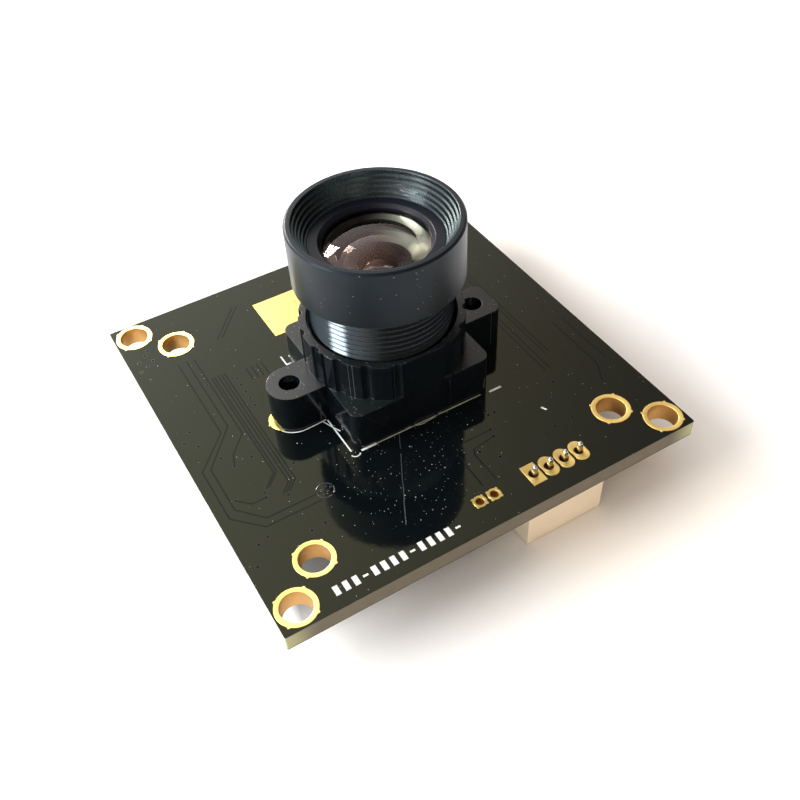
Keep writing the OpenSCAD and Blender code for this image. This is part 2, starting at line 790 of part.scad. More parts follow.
// Gull-wing lead leaving a body's side at x = 0, half way up its height
module gull_lead(w, h) {
    z = -chip_standoff - h / 2;
    knee = lead_reach * knee_share;
    t = lead_t;
    rotate([90, 0, 0])
        linear_extrude(height = w, center = true)
            polygon([
                [0, z - t / 2], [knee, z - t / 2], [knee + t, -t], [lead_reach, -t],
                [lead_reach, 0], [knee + t / 5, 0], [knee - t, z + t / 2], [0, z + t / 2]
            ]);
}

module lead_row(count, pitch, w, h, offset) {
    for (i = [0 : count - 1])
        translate([offset, (i - (count - 1) / 2) * pitch, 0]) gull_lead(w, h);
}

module processor() color([0.12, 0.12, 0.13])
    translate([chip_at.x, chip_at.y, 0]) moulded_body(chip_side, chip_side, chip_h);

module processor_leads() color([0.75, 0.75, 0.76])
    translate([chip_at.x, chip_at.y, 0])
        for (a = [0 : 90 : 270])
            rotate(a) lead_row(chip_leads, chip_lead_pitch, chip_lead_w, chip_h, chip_side / 2);

module flash_memory() color([0.12, 0.12, 0.13])
    translate([flash_at.x, flash_at.y, 0]) moulded_body(flash_w, flash_len, flash_h);

module flash_leads() color([0.75, 0.75, 0.76])
    translate([flash_at.x, flash_at.y, 0])
        for (a = [0, 180])
            rotate(a) lead_row(4, flash_lead_pitch, flash_lead_w, flash_h, flash_w / 2);

module clock_crystal() color([0.75, 0.74, 0.7])
    translate([crystal_at.x, crystal_at.y, -crystal_h])
        rounded_block([crystal_w, crystal_len], crystal_corner_r, crystal_h);

module regulators() color([0.12, 0.12, 0.13])
    for (p = regulator_spots)
        translate([p.x, p.y, 0]) moulded_body(regulator_w, regulator_len, regulator_h);

module regulator_leads() color([0.75, 0.75, 0.76])
    for (p = regulator_spots)
        translate([p.x, p.y, 0]) {
            lead_row(2, regulator_lead_pitch, regulator_lead_w, regulator_h, regulator_w / 2);
            rotate(180) lead_row(1, 0, regulator_lead_w, regulator_h, regulator_w / 2);
        }

module power_inductor() color([0.2, 0.2, 0.2])
    translate([inductor_at.x, inductor_at.y, -inductor_h])
        difference() {
            rounded_block([inductor_side, inductor_side], inductor_corner_r, inductor_h);
            translate([0, 0, -cut]) cylinder(r = inductor_hollow_r, h = cut + inductor_hollow_depth);
        }

module passive_body(h) {
    centred_box([passive_len - 2 * end_cap, passive_w, h], -h);
}

module passive_ends(h) {
    for (x = [-1, 1])
        translate([x * (passive_len - end_cap) / 2, 0, 0])
            centred_box([end_cap, passive_w + 2 * end_plating, h + end_plating], -h - end_plating);
}

module placed(spots) {
    for (p = spots) translate([p[0], p[1], 0]) rotate(p[2]) children();
}

module capacitors() color([0.55, 0.42, 0.28]) placed(capacitor_spots) passive_body(capacitor_h);

module capacitor_ends() color([0.8, 0.8, 0.8]) placed(capacitor_spots) passive_ends(capacitor_h);

module resistors() color([0.1, 0.1, 0.11]) placed(resistor_spots) passive_body(resistor_h);

module resistor_ends() color([0.8, 0.8, 0.8]) placed(resistor_spots) passive_ends(resistor_h);

circuit_board();
mount_hole_platings();
header_pads();
test_pads();
ground_pad();
holder_slot_platings();
lens_holder();
holder_screws();
lens_barrel();
retaining_ring();
front_element();
conical_spacer();
stepped_baffle();
second_element();
aperture_stop();
cemented_pair();
rear_element();
rear_retaining_ring();
infrared_filter();
sensor_package();
sensor_die();
sensor_cover_glass();
connector_housing();
connector_pins();
processor();
processor_leads();
flash_memory();
flash_leads();
clock_crystal();
regulators();
regulator_leads();
power_inductor();
capacitors();
capacitor_ends();
resistors();
resistor_ends();
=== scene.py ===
import json
import math
import random

import bmesh
import bpy
from mathutils import Matrix, Vector


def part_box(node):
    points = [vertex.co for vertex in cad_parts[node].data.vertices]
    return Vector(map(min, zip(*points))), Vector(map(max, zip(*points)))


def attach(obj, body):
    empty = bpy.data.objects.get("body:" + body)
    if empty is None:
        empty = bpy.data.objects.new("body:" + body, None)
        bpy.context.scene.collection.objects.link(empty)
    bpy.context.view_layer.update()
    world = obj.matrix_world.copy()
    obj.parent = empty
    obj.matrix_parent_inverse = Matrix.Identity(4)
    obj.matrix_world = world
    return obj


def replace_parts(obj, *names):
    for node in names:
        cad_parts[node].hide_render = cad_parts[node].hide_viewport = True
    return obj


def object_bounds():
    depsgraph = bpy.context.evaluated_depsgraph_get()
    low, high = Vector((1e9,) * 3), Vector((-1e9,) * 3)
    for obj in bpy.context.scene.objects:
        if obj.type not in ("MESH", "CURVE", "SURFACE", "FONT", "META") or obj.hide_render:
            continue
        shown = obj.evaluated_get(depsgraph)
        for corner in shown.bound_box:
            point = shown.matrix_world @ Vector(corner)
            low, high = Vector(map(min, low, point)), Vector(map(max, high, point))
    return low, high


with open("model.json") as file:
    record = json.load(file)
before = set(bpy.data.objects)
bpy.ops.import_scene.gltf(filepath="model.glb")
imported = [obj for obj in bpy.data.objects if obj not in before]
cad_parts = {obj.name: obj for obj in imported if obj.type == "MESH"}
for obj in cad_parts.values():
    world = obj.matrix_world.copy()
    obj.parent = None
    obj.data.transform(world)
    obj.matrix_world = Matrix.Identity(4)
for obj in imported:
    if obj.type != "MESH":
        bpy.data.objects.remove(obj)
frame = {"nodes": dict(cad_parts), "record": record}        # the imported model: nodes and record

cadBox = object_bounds()
mm = 0.001
nodes = frame["nodes"]

# driving places in millimetres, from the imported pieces
boardLow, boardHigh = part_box("circuit_board")
boardTop = boardHigh.z / mm
boardBottom = boardLow.z / mm
boardHalf = (boardHigh.x - boardLow.x) / 2 / mm
headLow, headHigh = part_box("lens_barrel")
axisX = (headLow.x + headHigh.x) / 2 / mm
headRadius = (headHigh.x - headLow.x) / 2 / mm


# shader helpers

def addNode(tree, kind, settings=None, **inputs):
    node = tree.nodes.new("ShaderNode" + kind)
    for key, value in (settings or {}).items():
        setattr(node, key, value)
    for key, value in inputs.items():
        plug(tree, node.inputs[key.replace("_", " ")], value)
    return node


def plug(tree, socket, value):
    if isinstance(value, bpy.types.NodeSocket):
        tree.links.new(value, socket)
    else:
        socket.default_value = value


def maths(tree, operation, *values, clamp=False):
    node = addNode(tree, "Math", {"operation": operation, "use_clamp": clamp})
    for socket, value in zip(node.inputs, values):
        plug(tree, socket, value)
    return node.outputs[0]


def blendColours(tree, amount, first, second):
    node = addNode(tree, "Mix", {"data_type": "RGBA"})
    plug(tree, node.inputs[0], amount)
    plug(tree, node.inputs[6], first)
    plug(tree, node.inputs[7], second)
    return node.outputs[2]


def blendValues(tree, amount, first, second):
    node = addNode(tree, "Mix", {"data_type": "FLOAT"})
    plug(tree, node.inputs[0], amount)
    plug(tree, node.inputs[2], first)
    plug(tree, node.inputs[3], second)
    return node.outputs[0]


def mixShaders(tree, amount, first, second):
    mixed = addNode(tree, "MixShader", Fac=amount)
    tree.links.new(first.outputs[0], mixed.inputs[1])
    tree.links.new(second.outputs[0], mixed.inputs[2])
    return mixed


def rescale(tree, value, low, high, toLow, toHigh, smooth=False):
    kind = "SMOOTHSTEP" if smooth else "LINEAR"
    return addNode(
        tree, "MapRange", {"interpolation_type": kind},
        Value=value, From_Min=low, From_Max=high, To_Min=toLow, To_Max=toHigh,
    ).outputs[0]


def colour(r, g, b):
    return (r, g, b, 1.0)


def newGroup(name, inputs, outputs):
    group = bpy.data.node_groups.new(name, "ShaderNodeTree")
    for label, kind, value in inputs:
        group.interface.new_socket(label, in_out="INPUT", socket_type=kind).default_value = value
    for label, kind in outputs:
        group.interface.new_socket(label, in_out="OUTPUT", socket_type=kind)
    return group, group.nodes.new("NodeGroupInput"), group.nodes.new("NodeGroupOutput")


def useGroup(tree, group, **inputs):
    node = tree.nodes.new("ShaderNodeGroup")
    node.node_tree = group
    for key, value in inputs.items():
        plug(tree, node.inputs[key.replace("_", " ")], value)
    return node


def newMaterial(name, **values):
    material = bpy.data.materials.new(name)
    material.use_nodes = True
    tree = material.node_tree
    shader = tree.nodes["Principled BSDF"]
    for key, value in values.items():
        plug(tree, shader.inputs[key.replace("_", " ")], value)
    return material, tree, shader


# effects that several finishes share

def millimetresGroup():
    group, _, end = newGroup("millimetres", [], [("Vector", "NodeSocketVector")])
    place = addNode(group, "TexCoord").outputs["Object"]
    scaled = addNode(group, "VectorMath", {"operation": "SCALE"}, Vector=place, Scale=1 / mm)
    group.links.new(scaled.outputs[0], end.inputs[0])
    return group


def grainGroup(millimetres):
    # fine surface texture: a tone from 0 to 1, and the normal it gives
    group, start, end = newGroup(
        "fine_grain",
        [("Scale", "NodeSocketFloat", 6.0), ("Depth", "NodeSocketFloat", 0.3),
         ("Normal", "NodeSocketVector", (0, 0, 0))],
        [("Tone", "NodeSocketFloat"), ("Normal", "NodeSocketVector")],
    )
    place = useGroup(group, millimetres).outputs[0]
    noise = addNode(group, "TexNoise", Vector=place, Scale=start.outputs[0], Detail=4.0, Roughness=0.6)
    bump = addNode(
        group, "Bump", Strength=start.outputs[1], Distance=0.02 * mm,
        Height=noise.outputs[0], Normal=start.outputs[2],
    )
    group.links.new(noise.outputs[0], end.inputs[0])
    group.links.new(bump.outputs[0], end.inputs[1])
    return group


def dustGroup(millimetres, name, dimensions):
    # small bright specks scattered over a surface
    group, start, end = newGroup(
        name,
        [("Scale", "NodeSocketFloat", 4.0), ("Share", "NodeSocketFloat", 0.2),
         ("Size", "NodeSocketFloat", 0.16)],
        [("Mask", "NodeSocketFloat")],
    )
    place = useGroup(group, millimetres).outputs[0]
    bend = addNode(group, "TexNoise", Vector=place, Scale=9.0, Detail=1.0)
    stray = addNode(group, "VectorMath", {"operation": "SCALE"}, Vector=bend.outputs["Color"], Scale=0.05)
    moved = addNode(group, "VectorMath", {"operation": "ADD"}, Vector=place)
    group.links.new(stray.outputs[0], moved.inputs[1])
    cells = addNode(
        group, "TexVoronoi", {"voronoi_dimensions": dimensions},
        Vector=moved.outputs[0], Scale=start.outputs[0],
    )
    split = addNode(group, "SeparateColor", Color=cells.outputs["Color"])
    reach = maths(group, "MULTIPLY", start.outputs[2], split.outputs[1])
    near = maths(group, "LESS_THAN", cells.outputs["Distance"], reach)
    chosen = maths(group, "LESS_THAN", split.outputs[0], start.outputs[1])
    group.links.new(maths(group, "MULTIPLY", near, chosen), end.inputs[0])
    return group


def facingGroup():
    # how much of a surface lies flat, facing up or down
    group, _, end = newGroup("flat_faces", [], [("Mask", "NodeSocketFloat"), ("Up", "NodeSocketFloat")])
    normal = addNode(group, "NewGeometry").outputs["True Normal"]
    local = addNode(
        group, "VectorTransform",
        {"vector_type": "NORMAL", "convert_from": "WORLD", "convert_to": "OBJECT"}, Vector=normal,
    )
    up = addNode(group, "SeparateXYZ", Vector=local.outputs[0]).outputs[2]
    flat = rescale(group, maths(group, "ABSOLUTE", up), 0.5, 0.9, 0.0, 1.0)
    group.links.new(flat, end.inputs[0])
    group.links.new(rescale(group, up, 0.5, 0.9, 0.0, 1.0), end.inputs[1])
    return group


millimetres = millimetresGroup()
fineGrain = grainGroup(millimetres)
dustSpecks = dustGroup(millimetres, "dust_specks", "3D")
levelDust = dustGroup(millimetres, "level_dust", "2D")
flatFaces = facingGroup()


def softEdges(tree, radius):
    # rounds the sharp edges of a moulded or turned piece, with a radius in metres
    return addNode(tree, "Bevel", {"samples": 4}, Radius=radius).outputs[0]


# finishes

maskLook = {
    "base": colour(0.0025, 0.004, 0.005), "sheen": colour(1.0, 1.0, 0.58),
    "reliefSheen": colour(0.5, 0.5, 0.3), "roughness": 0.06, "ior": 1.5, "rippleScale": 1.6, "ripple": 0.16,
    "dust": colour(0.42, 0.44, 0.47), "dustRoughness": 0.6, "dustAt": (-3.5, -9.5), "dustReach": (2.5, 8.5),
    "dustShare": (0.34, 0.03), "fineDust": (3.1, 0.105), "coarseDust": (1.7, 0.1), "coarseShare": 0.3,
}
# the corner tone is a painted glow of light through the laminate, and the pale side tone is painted light on the
# board's left side face
laminateLook = {
    "resin": colour(0.105, 0.082, 0.058), "fibre": colour(0.17, 0.145, 0.115), "roughness": 0.6,
    "drawn": (0.7, 0.7, 9.0), "fibreScale": 2.4, "corner": colour(0.44, 0.43, 0.24), "glowReach": 2.6,
    "paintedLitSide": colour(0.5, 0.5, 0.45), "sideDepth": 0.02, "skin": 0.07,
}


def dustPatch(tree, place):
    # specks that gather round one spot on the board and thin out away from it
    near = addNode(tree, "VectorMath", {"operation": "DISTANCE"}, Vector=place)
    near.inputs[1].default_value = (*maskLook["dustAt"], boardTop)
    share = rescale(tree, near.outputs["Value"], *maskLook["dustReach"], *maskLook["dustShare"])
    scale, size = maskLook["fineDust"]
    fine = useGroup(tree, levelDust, Scale=scale, Share=share, Size=size)
    scale, size = maskLook["coarseDust"]
    fewer = maths(tree, "MULTIPLY", share, maskLook["coarseShare"])
    coarse = useGroup(tree, levelDust, Scale=scale, Share=fewer, Size=size)
    return maths(tree, "MAXIMUM", fine.outputs[0], coarse.outputs[0])


def laminateSide(tree, place):
    # the cut edge of the board: glass cloth drawn out along the cut, with a painted glow of light through the
    # laminate at the corners and painted light on the left side face
    look = laminateLook
    drawn = addNode(tree, "Mapping", Vector=place, Scale=look["drawn"])
    streaks = addNode(
        tree, "TexNoise", Vector=drawn.outputs[0], Scale=look["fibreScale"], Detail=5.0, Roughness=0.7,
    )
    spread = rescale(tree, streaks.outputs[0], 0.3, 0.7, 0.0, 1.0)
    side = blendColours(tree, spread, look["resin"], look["fibre"])
    x, y, z = addNode(tree, "SeparateXYZ", Vector=place).outputs
    inward = maths(tree, "MINIMUM", maths(tree, "ABSOLUTE", x), maths(tree, "ABSOLUTE", y))
    # painted light: the laminate turns paler near the corners, as if lit through from the side
    corner = rescale(tree, inward, boardHalf - look["glowReach"], boardHalf, 0.0, 1.0, smooth=True)
    side = blendColours(tree, corner, side, look["corner"])
    # painted light: the left side face, turned to the window, is made pale so it reads as brightly lit
    pale = maths(tree, "LESS_THAN", x, look["sideDepth"] - boardHalf)
    side = blendColours(tree, pale, side, look["paintedLitSide"])
    fromMiddle = maths(tree, "SUBTRACT", z, (boardTop + boardBottom) / 2)
    edge = (boardTop - boardBottom) / 2 - look["skin"]
    skin = maths(tree, "GREATER_THAN", maths(tree, "ABSOLUTE", fromMiddle), edge)
    return blendColours(tree, skin, side, maskLook["base"])


def solderMask(name, isBoard):
    # the glossy black skin; the board itself also has dust and bare sides
    look = maskLook
    material, tree, shader = newMaterial(name, IOR=look["ior"])
    shader.inputs["Specular Tint"].default_value = look["sheen" if isBoard else "reliefSheen"]
    grain = useGroup(tree, fineGrain, Scale=look["rippleScale"], Depth=look["ripple"])
    face, rough = look["base"], look["roughness"]
    if isBoard:
        place = useGroup(tree, millimetres).outputs[0]
        flat = useGroup(tree, flatFaces)
        specks = maths(tree, "MULTIPLY", dustPatch(tree, place), flat.outputs["Up"])
        face = blendColours(tree, specks, look["base"], look["dust"])
        face = blendColours(tree, flat.outputs["Mask"], laminateSide(tree, place), face)
        rough = rescale(tree, specks, 0.0, 1.0, look["roughness"], look["dustRoughness"])
        cut = rescale(tree, flat.outputs["Mask"], 0.0, 1.0, laminateLook["roughness"], 0.0)
        rough = maths(tree, "MAXIMUM", rough, cut)
    plug(tree, shader.inputs["Base Color"], face)
    plug(tree, shader.inputs["Roughness"], rough)
    plug(tree, shader.inputs["Normal"], grain.outputs["Normal"])
    return material


def toneSpan(tree, tone, span):
    # a roughness that follows the grain
    return rescale(tree, tone, 0.3, 0.7, *span)


def plainFinish(name, look):
    # a base tone with grain, and a second tone that drifts over it; in looks that give across, it comes in along
    # X instead, as painted light
    material, tree, shader = newMaterial(name, Metallic=look.get("metallic", 0.0), IOR=1.5)
    shader.inputs["Specular IOR Level"].default_value = look.get("gloss", 0.5)
    edges = {"Normal": softEdges(tree, look["edge"] * mm)} if "edge" in look else {}
    grain = useGroup(tree, fineGrain, Scale=look["grain"], Depth=look["depth"], **edges)
    place = useGroup(tree, millimetres).outputs[0]
    if "across" in look:
        # the second tone comes in along X, as painted light that changes from one side to the other
        along = addNode(tree, "SeparateXYZ", Vector=place).outputs[0]
        spread = rescale(tree, along, *look["across"], 0.0, 1.0)
    else:
        drift = addNode(tree, "TexNoise", Vector=place, Scale=look.get("drift", 0.5), Detail=3.0)
        spread = rescale(tree, drift.outputs[0], 0.35, 0.65, 0.0, 1.0)
    tone = blendColours(tree, spread, look["base"], look["second"])
    rough = toneSpan(tree, grain.outputs["Tone"], look["roughness"])
    flat = useGroup(tree, flatFaces)
    # steep faces, such as the walls of plated holes, take a darker tone: painted shade inside the holes
    if "wall" in look:
        tone = blendColours(tree, flat.outputs["Mask"], look["wall"], tone)
    if "top" in look:
        # faces that look up are duller than the sides and hold more dust, and take a lighter tone that is painted
        # light from above
        up = flat.outputs["Up"]
        rough = blendValues(tree, up, rough, toneSpan(tree, grain.outputs["Tone"], look["top"]))
        tone = blendColours(tree, up, tone, look["litTop"])
        specks = useGroup(
            tree, levelDust, Scale=look["dustScale"], Share=look["dustShare"], Size=look["dustSize"],
        ).outputs[0]
        specks = maths(tree, "MULTIPLY", specks, rescale(tree, up, 0.0, 1.0, look["sideDust"], 1.0))
        tone = blendColours(tree, specks, tone, look["dust"])
        rough = maths(tree, "MAXIMUM", rough, maths(tree, "MULTIPLY", specks, look["dustRoughness"]))
    plug(tree, shader.inputs["Base Color"], tone)
    plug(tree, shader.inputs["Roughness"], rough)
    plug(tree, shader.inputs["Normal"], grain.outputs["Normal"])
    return material


barrelLook = {
    "base": colour(0.0045, 0.0065, 0.0085), "second": colour(0.006, 0.0085, 0.011), "drift": 0.4, "ior": 2.2,
    "sheen": colour(0.09, 0.11, 0.13), "matt": (0.27, 0.36), "thread": (0.08, 0.14), "hood": (0.24, 0.32),
    "grain": 16.0, "depth": 0.14, "bareThread": colour(0.045, 0.054, 0.06),
    "bareHood": colour(0.095, 0.115, 0.12), "edge": 0.13, "threadEdge": 0.09,
    "bloom": 0.12, "bloomTint": colour(0.88, 0.96, 1.0), "bloomRoughness": 0.3,
    "dust": colour(0.20, 0.22, 0.24), "dustShare": 0.6, "dustScale": 2.6, "dustSize": 0.12,
    "threadTop": 13.0, "hoodFrom": 13.2, "wall": 0.5,
}


def barrelFinish():
    # matt black head, glossier thread below it and hood inside it
    look = barrelLook
    material, tree, shader = newMaterial("black_anodised_finish", IOR=look["ior"])
    shader.inputs["Specular Tint"].default_value = look["sheen"]
    shader.inputs["Sheen Weight"].default_value = look["bloom"]
    shader.inputs["Sheen Roughness"].default_value = look["bloomRoughness"]
    shader.inputs["Sheen Tint"].default_value = look["bloomTint"]
    place = useGroup(tree, millimetres).outputs[0]
    x, y, z = addNode(tree, "SeparateXYZ", Vector=place).outputs
    onThread = maths(tree, "LESS_THAN", z, look["threadTop"])
    corner = rescale(tree, onThread, 0.0, 1.0, look["edge"] * mm, look["threadEdge"] * mm)
    grain = useGroup(
        tree, fineGrain, Scale=look["grain"], Depth=look["depth"], Normal=softEdges(tree, corner),
    )
    fromAxis = addNode(tree, "CombineXYZ", X=maths(tree, "SUBTRACT", x, axisX), Y=y).outputs[0]
    radius = addNode(tree, "VectorMath", {"operation": "LENGTH"}, Vector=fromAxis).outputs["Value"]
    above = maths(tree, "GREATER_THAN", z, look["hoodFrom"])
    onHood = maths(tree, "MULTIPLY", maths(tree, "LESS_THAN", radius, headRadius - look["wall"]), above)
    drift = addNode(tree, "TexNoise", Vector=place, Scale=look["drift"], Detail=3.0)
    spread = rescale(tree, drift.outputs[0], 0.35, 0.65, 0.0, 1.0)
    tone = blendColours(tree, spread, look["base"], look["second"])
    shiny = maths(tree, "MAXIMUM", onThread, onHood)
    bare = blendColours(tree, onThread, look["bareHood"], look["bareThread"])
    tone = blendColours(tree, shiny, tone, bare)
    specks = useGroup(
        tree, dustSpecks, Scale=look["dustScale"], Share=look["dustShare"], Size=look["dustSize"],
    ).outputs[0]
    tone = blendColours(tree, specks, tone, look["dust"])
    rough = toneSpan(tree, grain.outputs["Tone"], look["matt"])
    for mask, span in ((onThread, look["thread"]), (onHood, look["hood"])):
        rough = blendValues(tree, mask, rough, toneSpan(tree, grain.outputs["Tone"], span))
    plug(tree, shader.inputs["Metallic"], shiny)
    plug(tree, shader.inputs["Base Color"], tone)
    plug(tree, shader.inputs["Roughness"], rough)
    plug(tree, shader.inputs["Normal"], grain.outputs["Normal"])
    return material


def glassFinish(name, look):
    # polished glass with a coating; lamps shine through it on what lies behind
    material, tree, shader = newMaterial(name, Roughness=0.0, IOR=look["ior"])
    shader.inputs["Transmission Weight"].default_value = 1.0
    shader.inputs["Specular Tint"].default_value = look["coating"]
    shader.inputs["Base Color"].default_value = look["tint"]
    clear = addNode(tree, "BsdfTransparent", Color=look["shade"])
    mixed = mixShaders(tree, addNode(tree, "LightPath").outputs["Is Shadow Ray"], shader, clear)
    tree.links.new(mixed.outputs[0], tree.nodes["Material Output"].inputs["Surface"])
    return material


groundPadLook = {
    "base": colour(0.80, 0.63, 0.20), "second": colour(0.74, 0.52, 0.15), "roughness": (0.34, 0.42),
    "stain": colour(0.40, 0.26, 0.07), "stainReach": (0.08, 0.2), "stainShare": 0.7, "thickness": 0.05,
    "marks": ((-1.9, 10.6), (-1.95, 11.5), (-2.0, 12.4), (-2.1, 13.3), (-1.0, 13.2), (0.1, 13.1)),
}


def stainedGold(name, look):
    # gold plate with a few faint brown spots in a row, as a stencil or a probe leaves
    material = plainFinish(name, look)
    tree = material.node_tree
    shader = tree.nodes["Principled BSDF"]
    tone = shader.inputs["Base Color"].links[0].from_socket
    place = useGroup(tree, millimetres).outputs[0]
    marks = 0.0
    for x, y in look["marks"]:
        near = addNode(tree, "VectorMath", {"operation": "DISTANCE"}, Vector=place)
        near.inputs[1].default_value = (x, y, boardTop + look["thickness"])
        spot = rescale(tree, near.outputs["Value"], *look["stainReach"], look["stainShare"], 0.0, smooth=True)
        marks = maths(tree, "MAXIMUM", marks, spot)
    plug(tree, shader.inputs["Base Color"], blendColours(tree, marks, tone, look["stain"]))
    return material


resistorLook = {
    "glaze": colour(0.015, 0.015, 0.017), "ends": colour(0.62, 0.60, 0.55),
    "roughness": 0.3, "grain": 7.0, "depth": 0.3,
}


def resistorFinish():
    # a dark glaze on the flat faces, pale ceramic at the sides
    look = resistorLook
    material, tree, shader = newMaterial("resistor_finish", Roughness=look["roughness"])
    flat = useGroup(tree, flatFaces).outputs["Mask"]
    grain = useGroup(tree, fineGrain, Scale=look["grain"], Depth=look["depth"])
    plug(tree, shader.inputs["Base Color"], blendColours(tree, flat, look["ends"], look["glaze"]))
    plug(tree, shader.inputs["Normal"], grain.outputs["Normal"])
    return material


siliconLook = {
    "blue": colour(0.05, 0.10, 0.28), "green": colour(0.06, 0.24, 0.16), "copper": colour(0.32, 0.18, 0.12),
    "stops": (0.35, 0.5, 0.65), "drift": 0.25, "roughness": 0.12, "metallic": 0.6,
}


def siliconFinish():
    # a dark light-sensitive field that shifts from blue to green to copper
    look = siliconLook
    material, tree, shader = newMaterial(
        "silicon_finish", Roughness=look["roughness"], Metallic=look["metallic"],
    )
    place = useGroup(tree, millimetres).outputs[0]
    drift = addNode(tree, "TexNoise", Vector=place, Scale=look["drift"], Detail=1.0)
    ramp = addNode(tree, "ValToRGB", Fac=drift.outputs[0])
    stops = ramp.color_ramp.elements
    first, middle, last = look["stops"]
    stops[0].position, stops[0].color = first, look["blue"]
    stops[1].position, stops[1].color = last, look["copper"]
    stops.new(middle).color = look["green"]
    plug(tree, shader.inputs["Base Color"], ramp.outputs[0])
    return material


plainLooks = {
    "gold_plate": {
        "base": colour(0.86, 0.73, 0.23), "second": colour(1.0, 0.72, 0.25), "metallic": 1.0,
        # the darker wall tone is painted shade inside the plated holes
        "wall": colour(0.62, 0.36, 0.12), "roughness": (0.4, 0.5), "grain": 9.0, "depth": 0.1,
        # the warmer second tone towards +X is painted light
        "across": (-12.0, 14.0),
    },
    "holder_plastic": {
        "base": colour(0.0028, 0.0042, 0.0062), "second": colour(0.0035, 0.0055, 0.0075),
        "roughness": (0.10, 0.18), "grain": 9.0, "depth": 0.03, "edge": 0.08,
        # the lighter tone of the faces that look up is painted light from above
        "top": (0.27, 0.37), "litTop": colour(0.006, 0.009, 0.0095),
        "dust": colour(0.42, 0.44, 0.46), "dustShare": 0.3, "dustScale": 3.6, "dustSize": 0.13,
        "sideDust": 0.1, "dustRoughness": 0.6,
    },
    "screw_steel": {
        "base": colour(0.62, 0.62, 0.64), "second": colour(0.52, 0.52, 0.55), "metallic": 1.0,
        "roughness": (0.25, 0.42), "grain": 12.0, "depth": 0.2, "edge": 0.06,
    },
    # the spacer turns from dark to bright along X: painted light on the side of the cone that the window lights
    "spacer_metal": {
        "base": colour(0.035, 0.03, 0.026), "second": colour(0.19, 0.20, 0.165), "metallic": 0.97,
        "roughness": (0.26, 0.36), "grain": 14.0, "depth": 0.12, "across": (axisX + 0.8, axisX + 3.4),
    },
    "ring_black": {
        "base": colour(0.003, 0.0035, 0.008), "second": colour(0.004, 0.0045, 0.010), "gloss": 0.3,
        "roughness": (0.26, 0.32), "grain": 12.0, "depth": 0.05, "edge": 0.1,
    },
    "legend_ink": {
        "base": colour(0.80, 0.82, 0.80), "second": colour(0.70, 0.72, 0.70),
        "roughness": (0.4, 0.6), "grain": 9.0, "depth": 0.3,
    },
    "worn_legend": {
        "base": colour(0.42, 0.42, 0.31), "second": colour(0.28, 0.28, 0.20),
        "roughness": (0.3, 0.5), "grain": 9.0, "depth": 0.3,
    },
    "scratch": {
        "base": colour(0.05, 0.06, 0.075), "second": colour(0.02, 0.025, 0.03),
        "roughness": (0.3, 0.5), "grain": 6.0, "depth": 0.5, "drift": 1.2,
    },
    "via_rim": {
        "base": colour(0.02, 0.022, 0.02), "second": colour(0.006, 0.008, 0.008), "roughness": (0.1, 0.2),
        "grain": 6.0, "depth": 0.2,
    },
    "flux": {
        "base": colour(0.02, 0.022, 0.022), "second": colour(0.006, 0.008, 0.01), "roughness": (0.2, 0.35),
        "grain": 5.0, "depth": 0.5,
    },
    # via_hole is a black disc that stands in for an open hole: painted shade
    "via_hole": {
        "base": colour(0.001, 0.001, 0.001), "second": colour(0.002, 0.002, 0.002), "gloss": 0.1,
        "roughness": (0.6, 0.8), "grain": 9.0, "depth": 0.3,
    },
    "stop_black": {
        "base": colour(0.003, 0.0032, 0.0036), "second": colour(0.005, 0.0052, 0.0056),
        "roughness": (0.22, 0.3), "grain": 12.0, "depth": 0.1,
    },
    "sensor_ceramic": {
        "base": colour(0.10, 0.10, 0.11), "second": colour(0.13, 0.13, 0.14),
        "roughness": (0.45, 0.6), "grain": 10.0, "depth": 0.2,
    },
    "connector_nylon": {
        "base": colour(0.84, 0.70, 0.50), "second": colour(0.87, 0.74, 0.55),
        "roughness": (0.38, 0.52), "grain": 7.0, "depth": 0.12, "edge": 0.09, "drift": 0.3,
    },
    "tinned_pin": {
        "base": colour(0.86, 0.85, 0.82), "second": colour(0.74, 0.73, 0.70), "metallic": 1.0,
        "roughness": (0.12, 0.26), "grain": 12.0, "depth": 0.15, "edge": 0.08,
    },
    "tinned_lead": {
        "base": colour(0.72, 0.72, 0.72), "second": colour(0.60, 0.60, 0.61), "metallic": 1.0,
        "roughness": (0.28, 0.45), "grain": 10.0, "depth": 0.3, "edge": 0.04,
    },
    "chip_body": {
        "base": colour(0.022, 0.022, 0.024), "second": colour(0.032, 0.032, 0.034),
        "roughness": (0.42, 0.6), "grain": 12.0, "depth": 0.4, "edge": 0.06,
    },
    "crystal_case": {
        "base": colour(0.66, 0.65, 0.60), "second": colour(0.58, 0.57, 0.52), "metallic": 1.0,
        "roughness": (0.22, 0.36), "grain": 8.0, "depth": 0.2, "edge": 0.08,
    },
    "inductor_ferrite": {
        "base": colour(0.06, 0.06, 0.065), "second": colour(0.11, 0.11, 0.115),
        "roughness": (0.5, 0.7), "grain": 6.0, "depth": 0.5, "edge": 0.06, "drift": 3.0,
    },
    "capacitor_ceramic": {
        "base": colour(0.42, 0.30, 0.18), "second": colour(0.50, 0.37, 0.23),
        "roughness": (0.35, 0.5), "grain": 9.0, "depth": 0.3, "edge": 0.05,
    },
}

glassLooks = {
    "coated_glass": {
        "ior": 1.5, "coating": colour(0.66, 0.34, 0.26), "tint": colour(0.96, 0.93, 0.9),
        "shade": colour(0.85, 0.83, 0.8),
    },
    "second_glass": {
        "ior": 1.6, "coating": colour(0.62, 0.36, 0.30), "tint": colour(0.92, 0.84, 0.82),
        "shade": colour(0.5, 0.48, 0.45),
    },
    "clear_glass": {
        "ior": 1.5, "coating": colour(1.0, 1.0, 1.0), "tint": colour(0.97, 0.98, 0.98),
        "shade": colour(0.9, 0.9, 0.9),
    },
    "filter_glass": {
        "ior": 1.5, "coating": colour(1.0, 0.55, 0.6), "tint": colour(0.85, 0.55, 0.6),
        "shade": colour(0.7, 0.4, 0.45),
    },
}

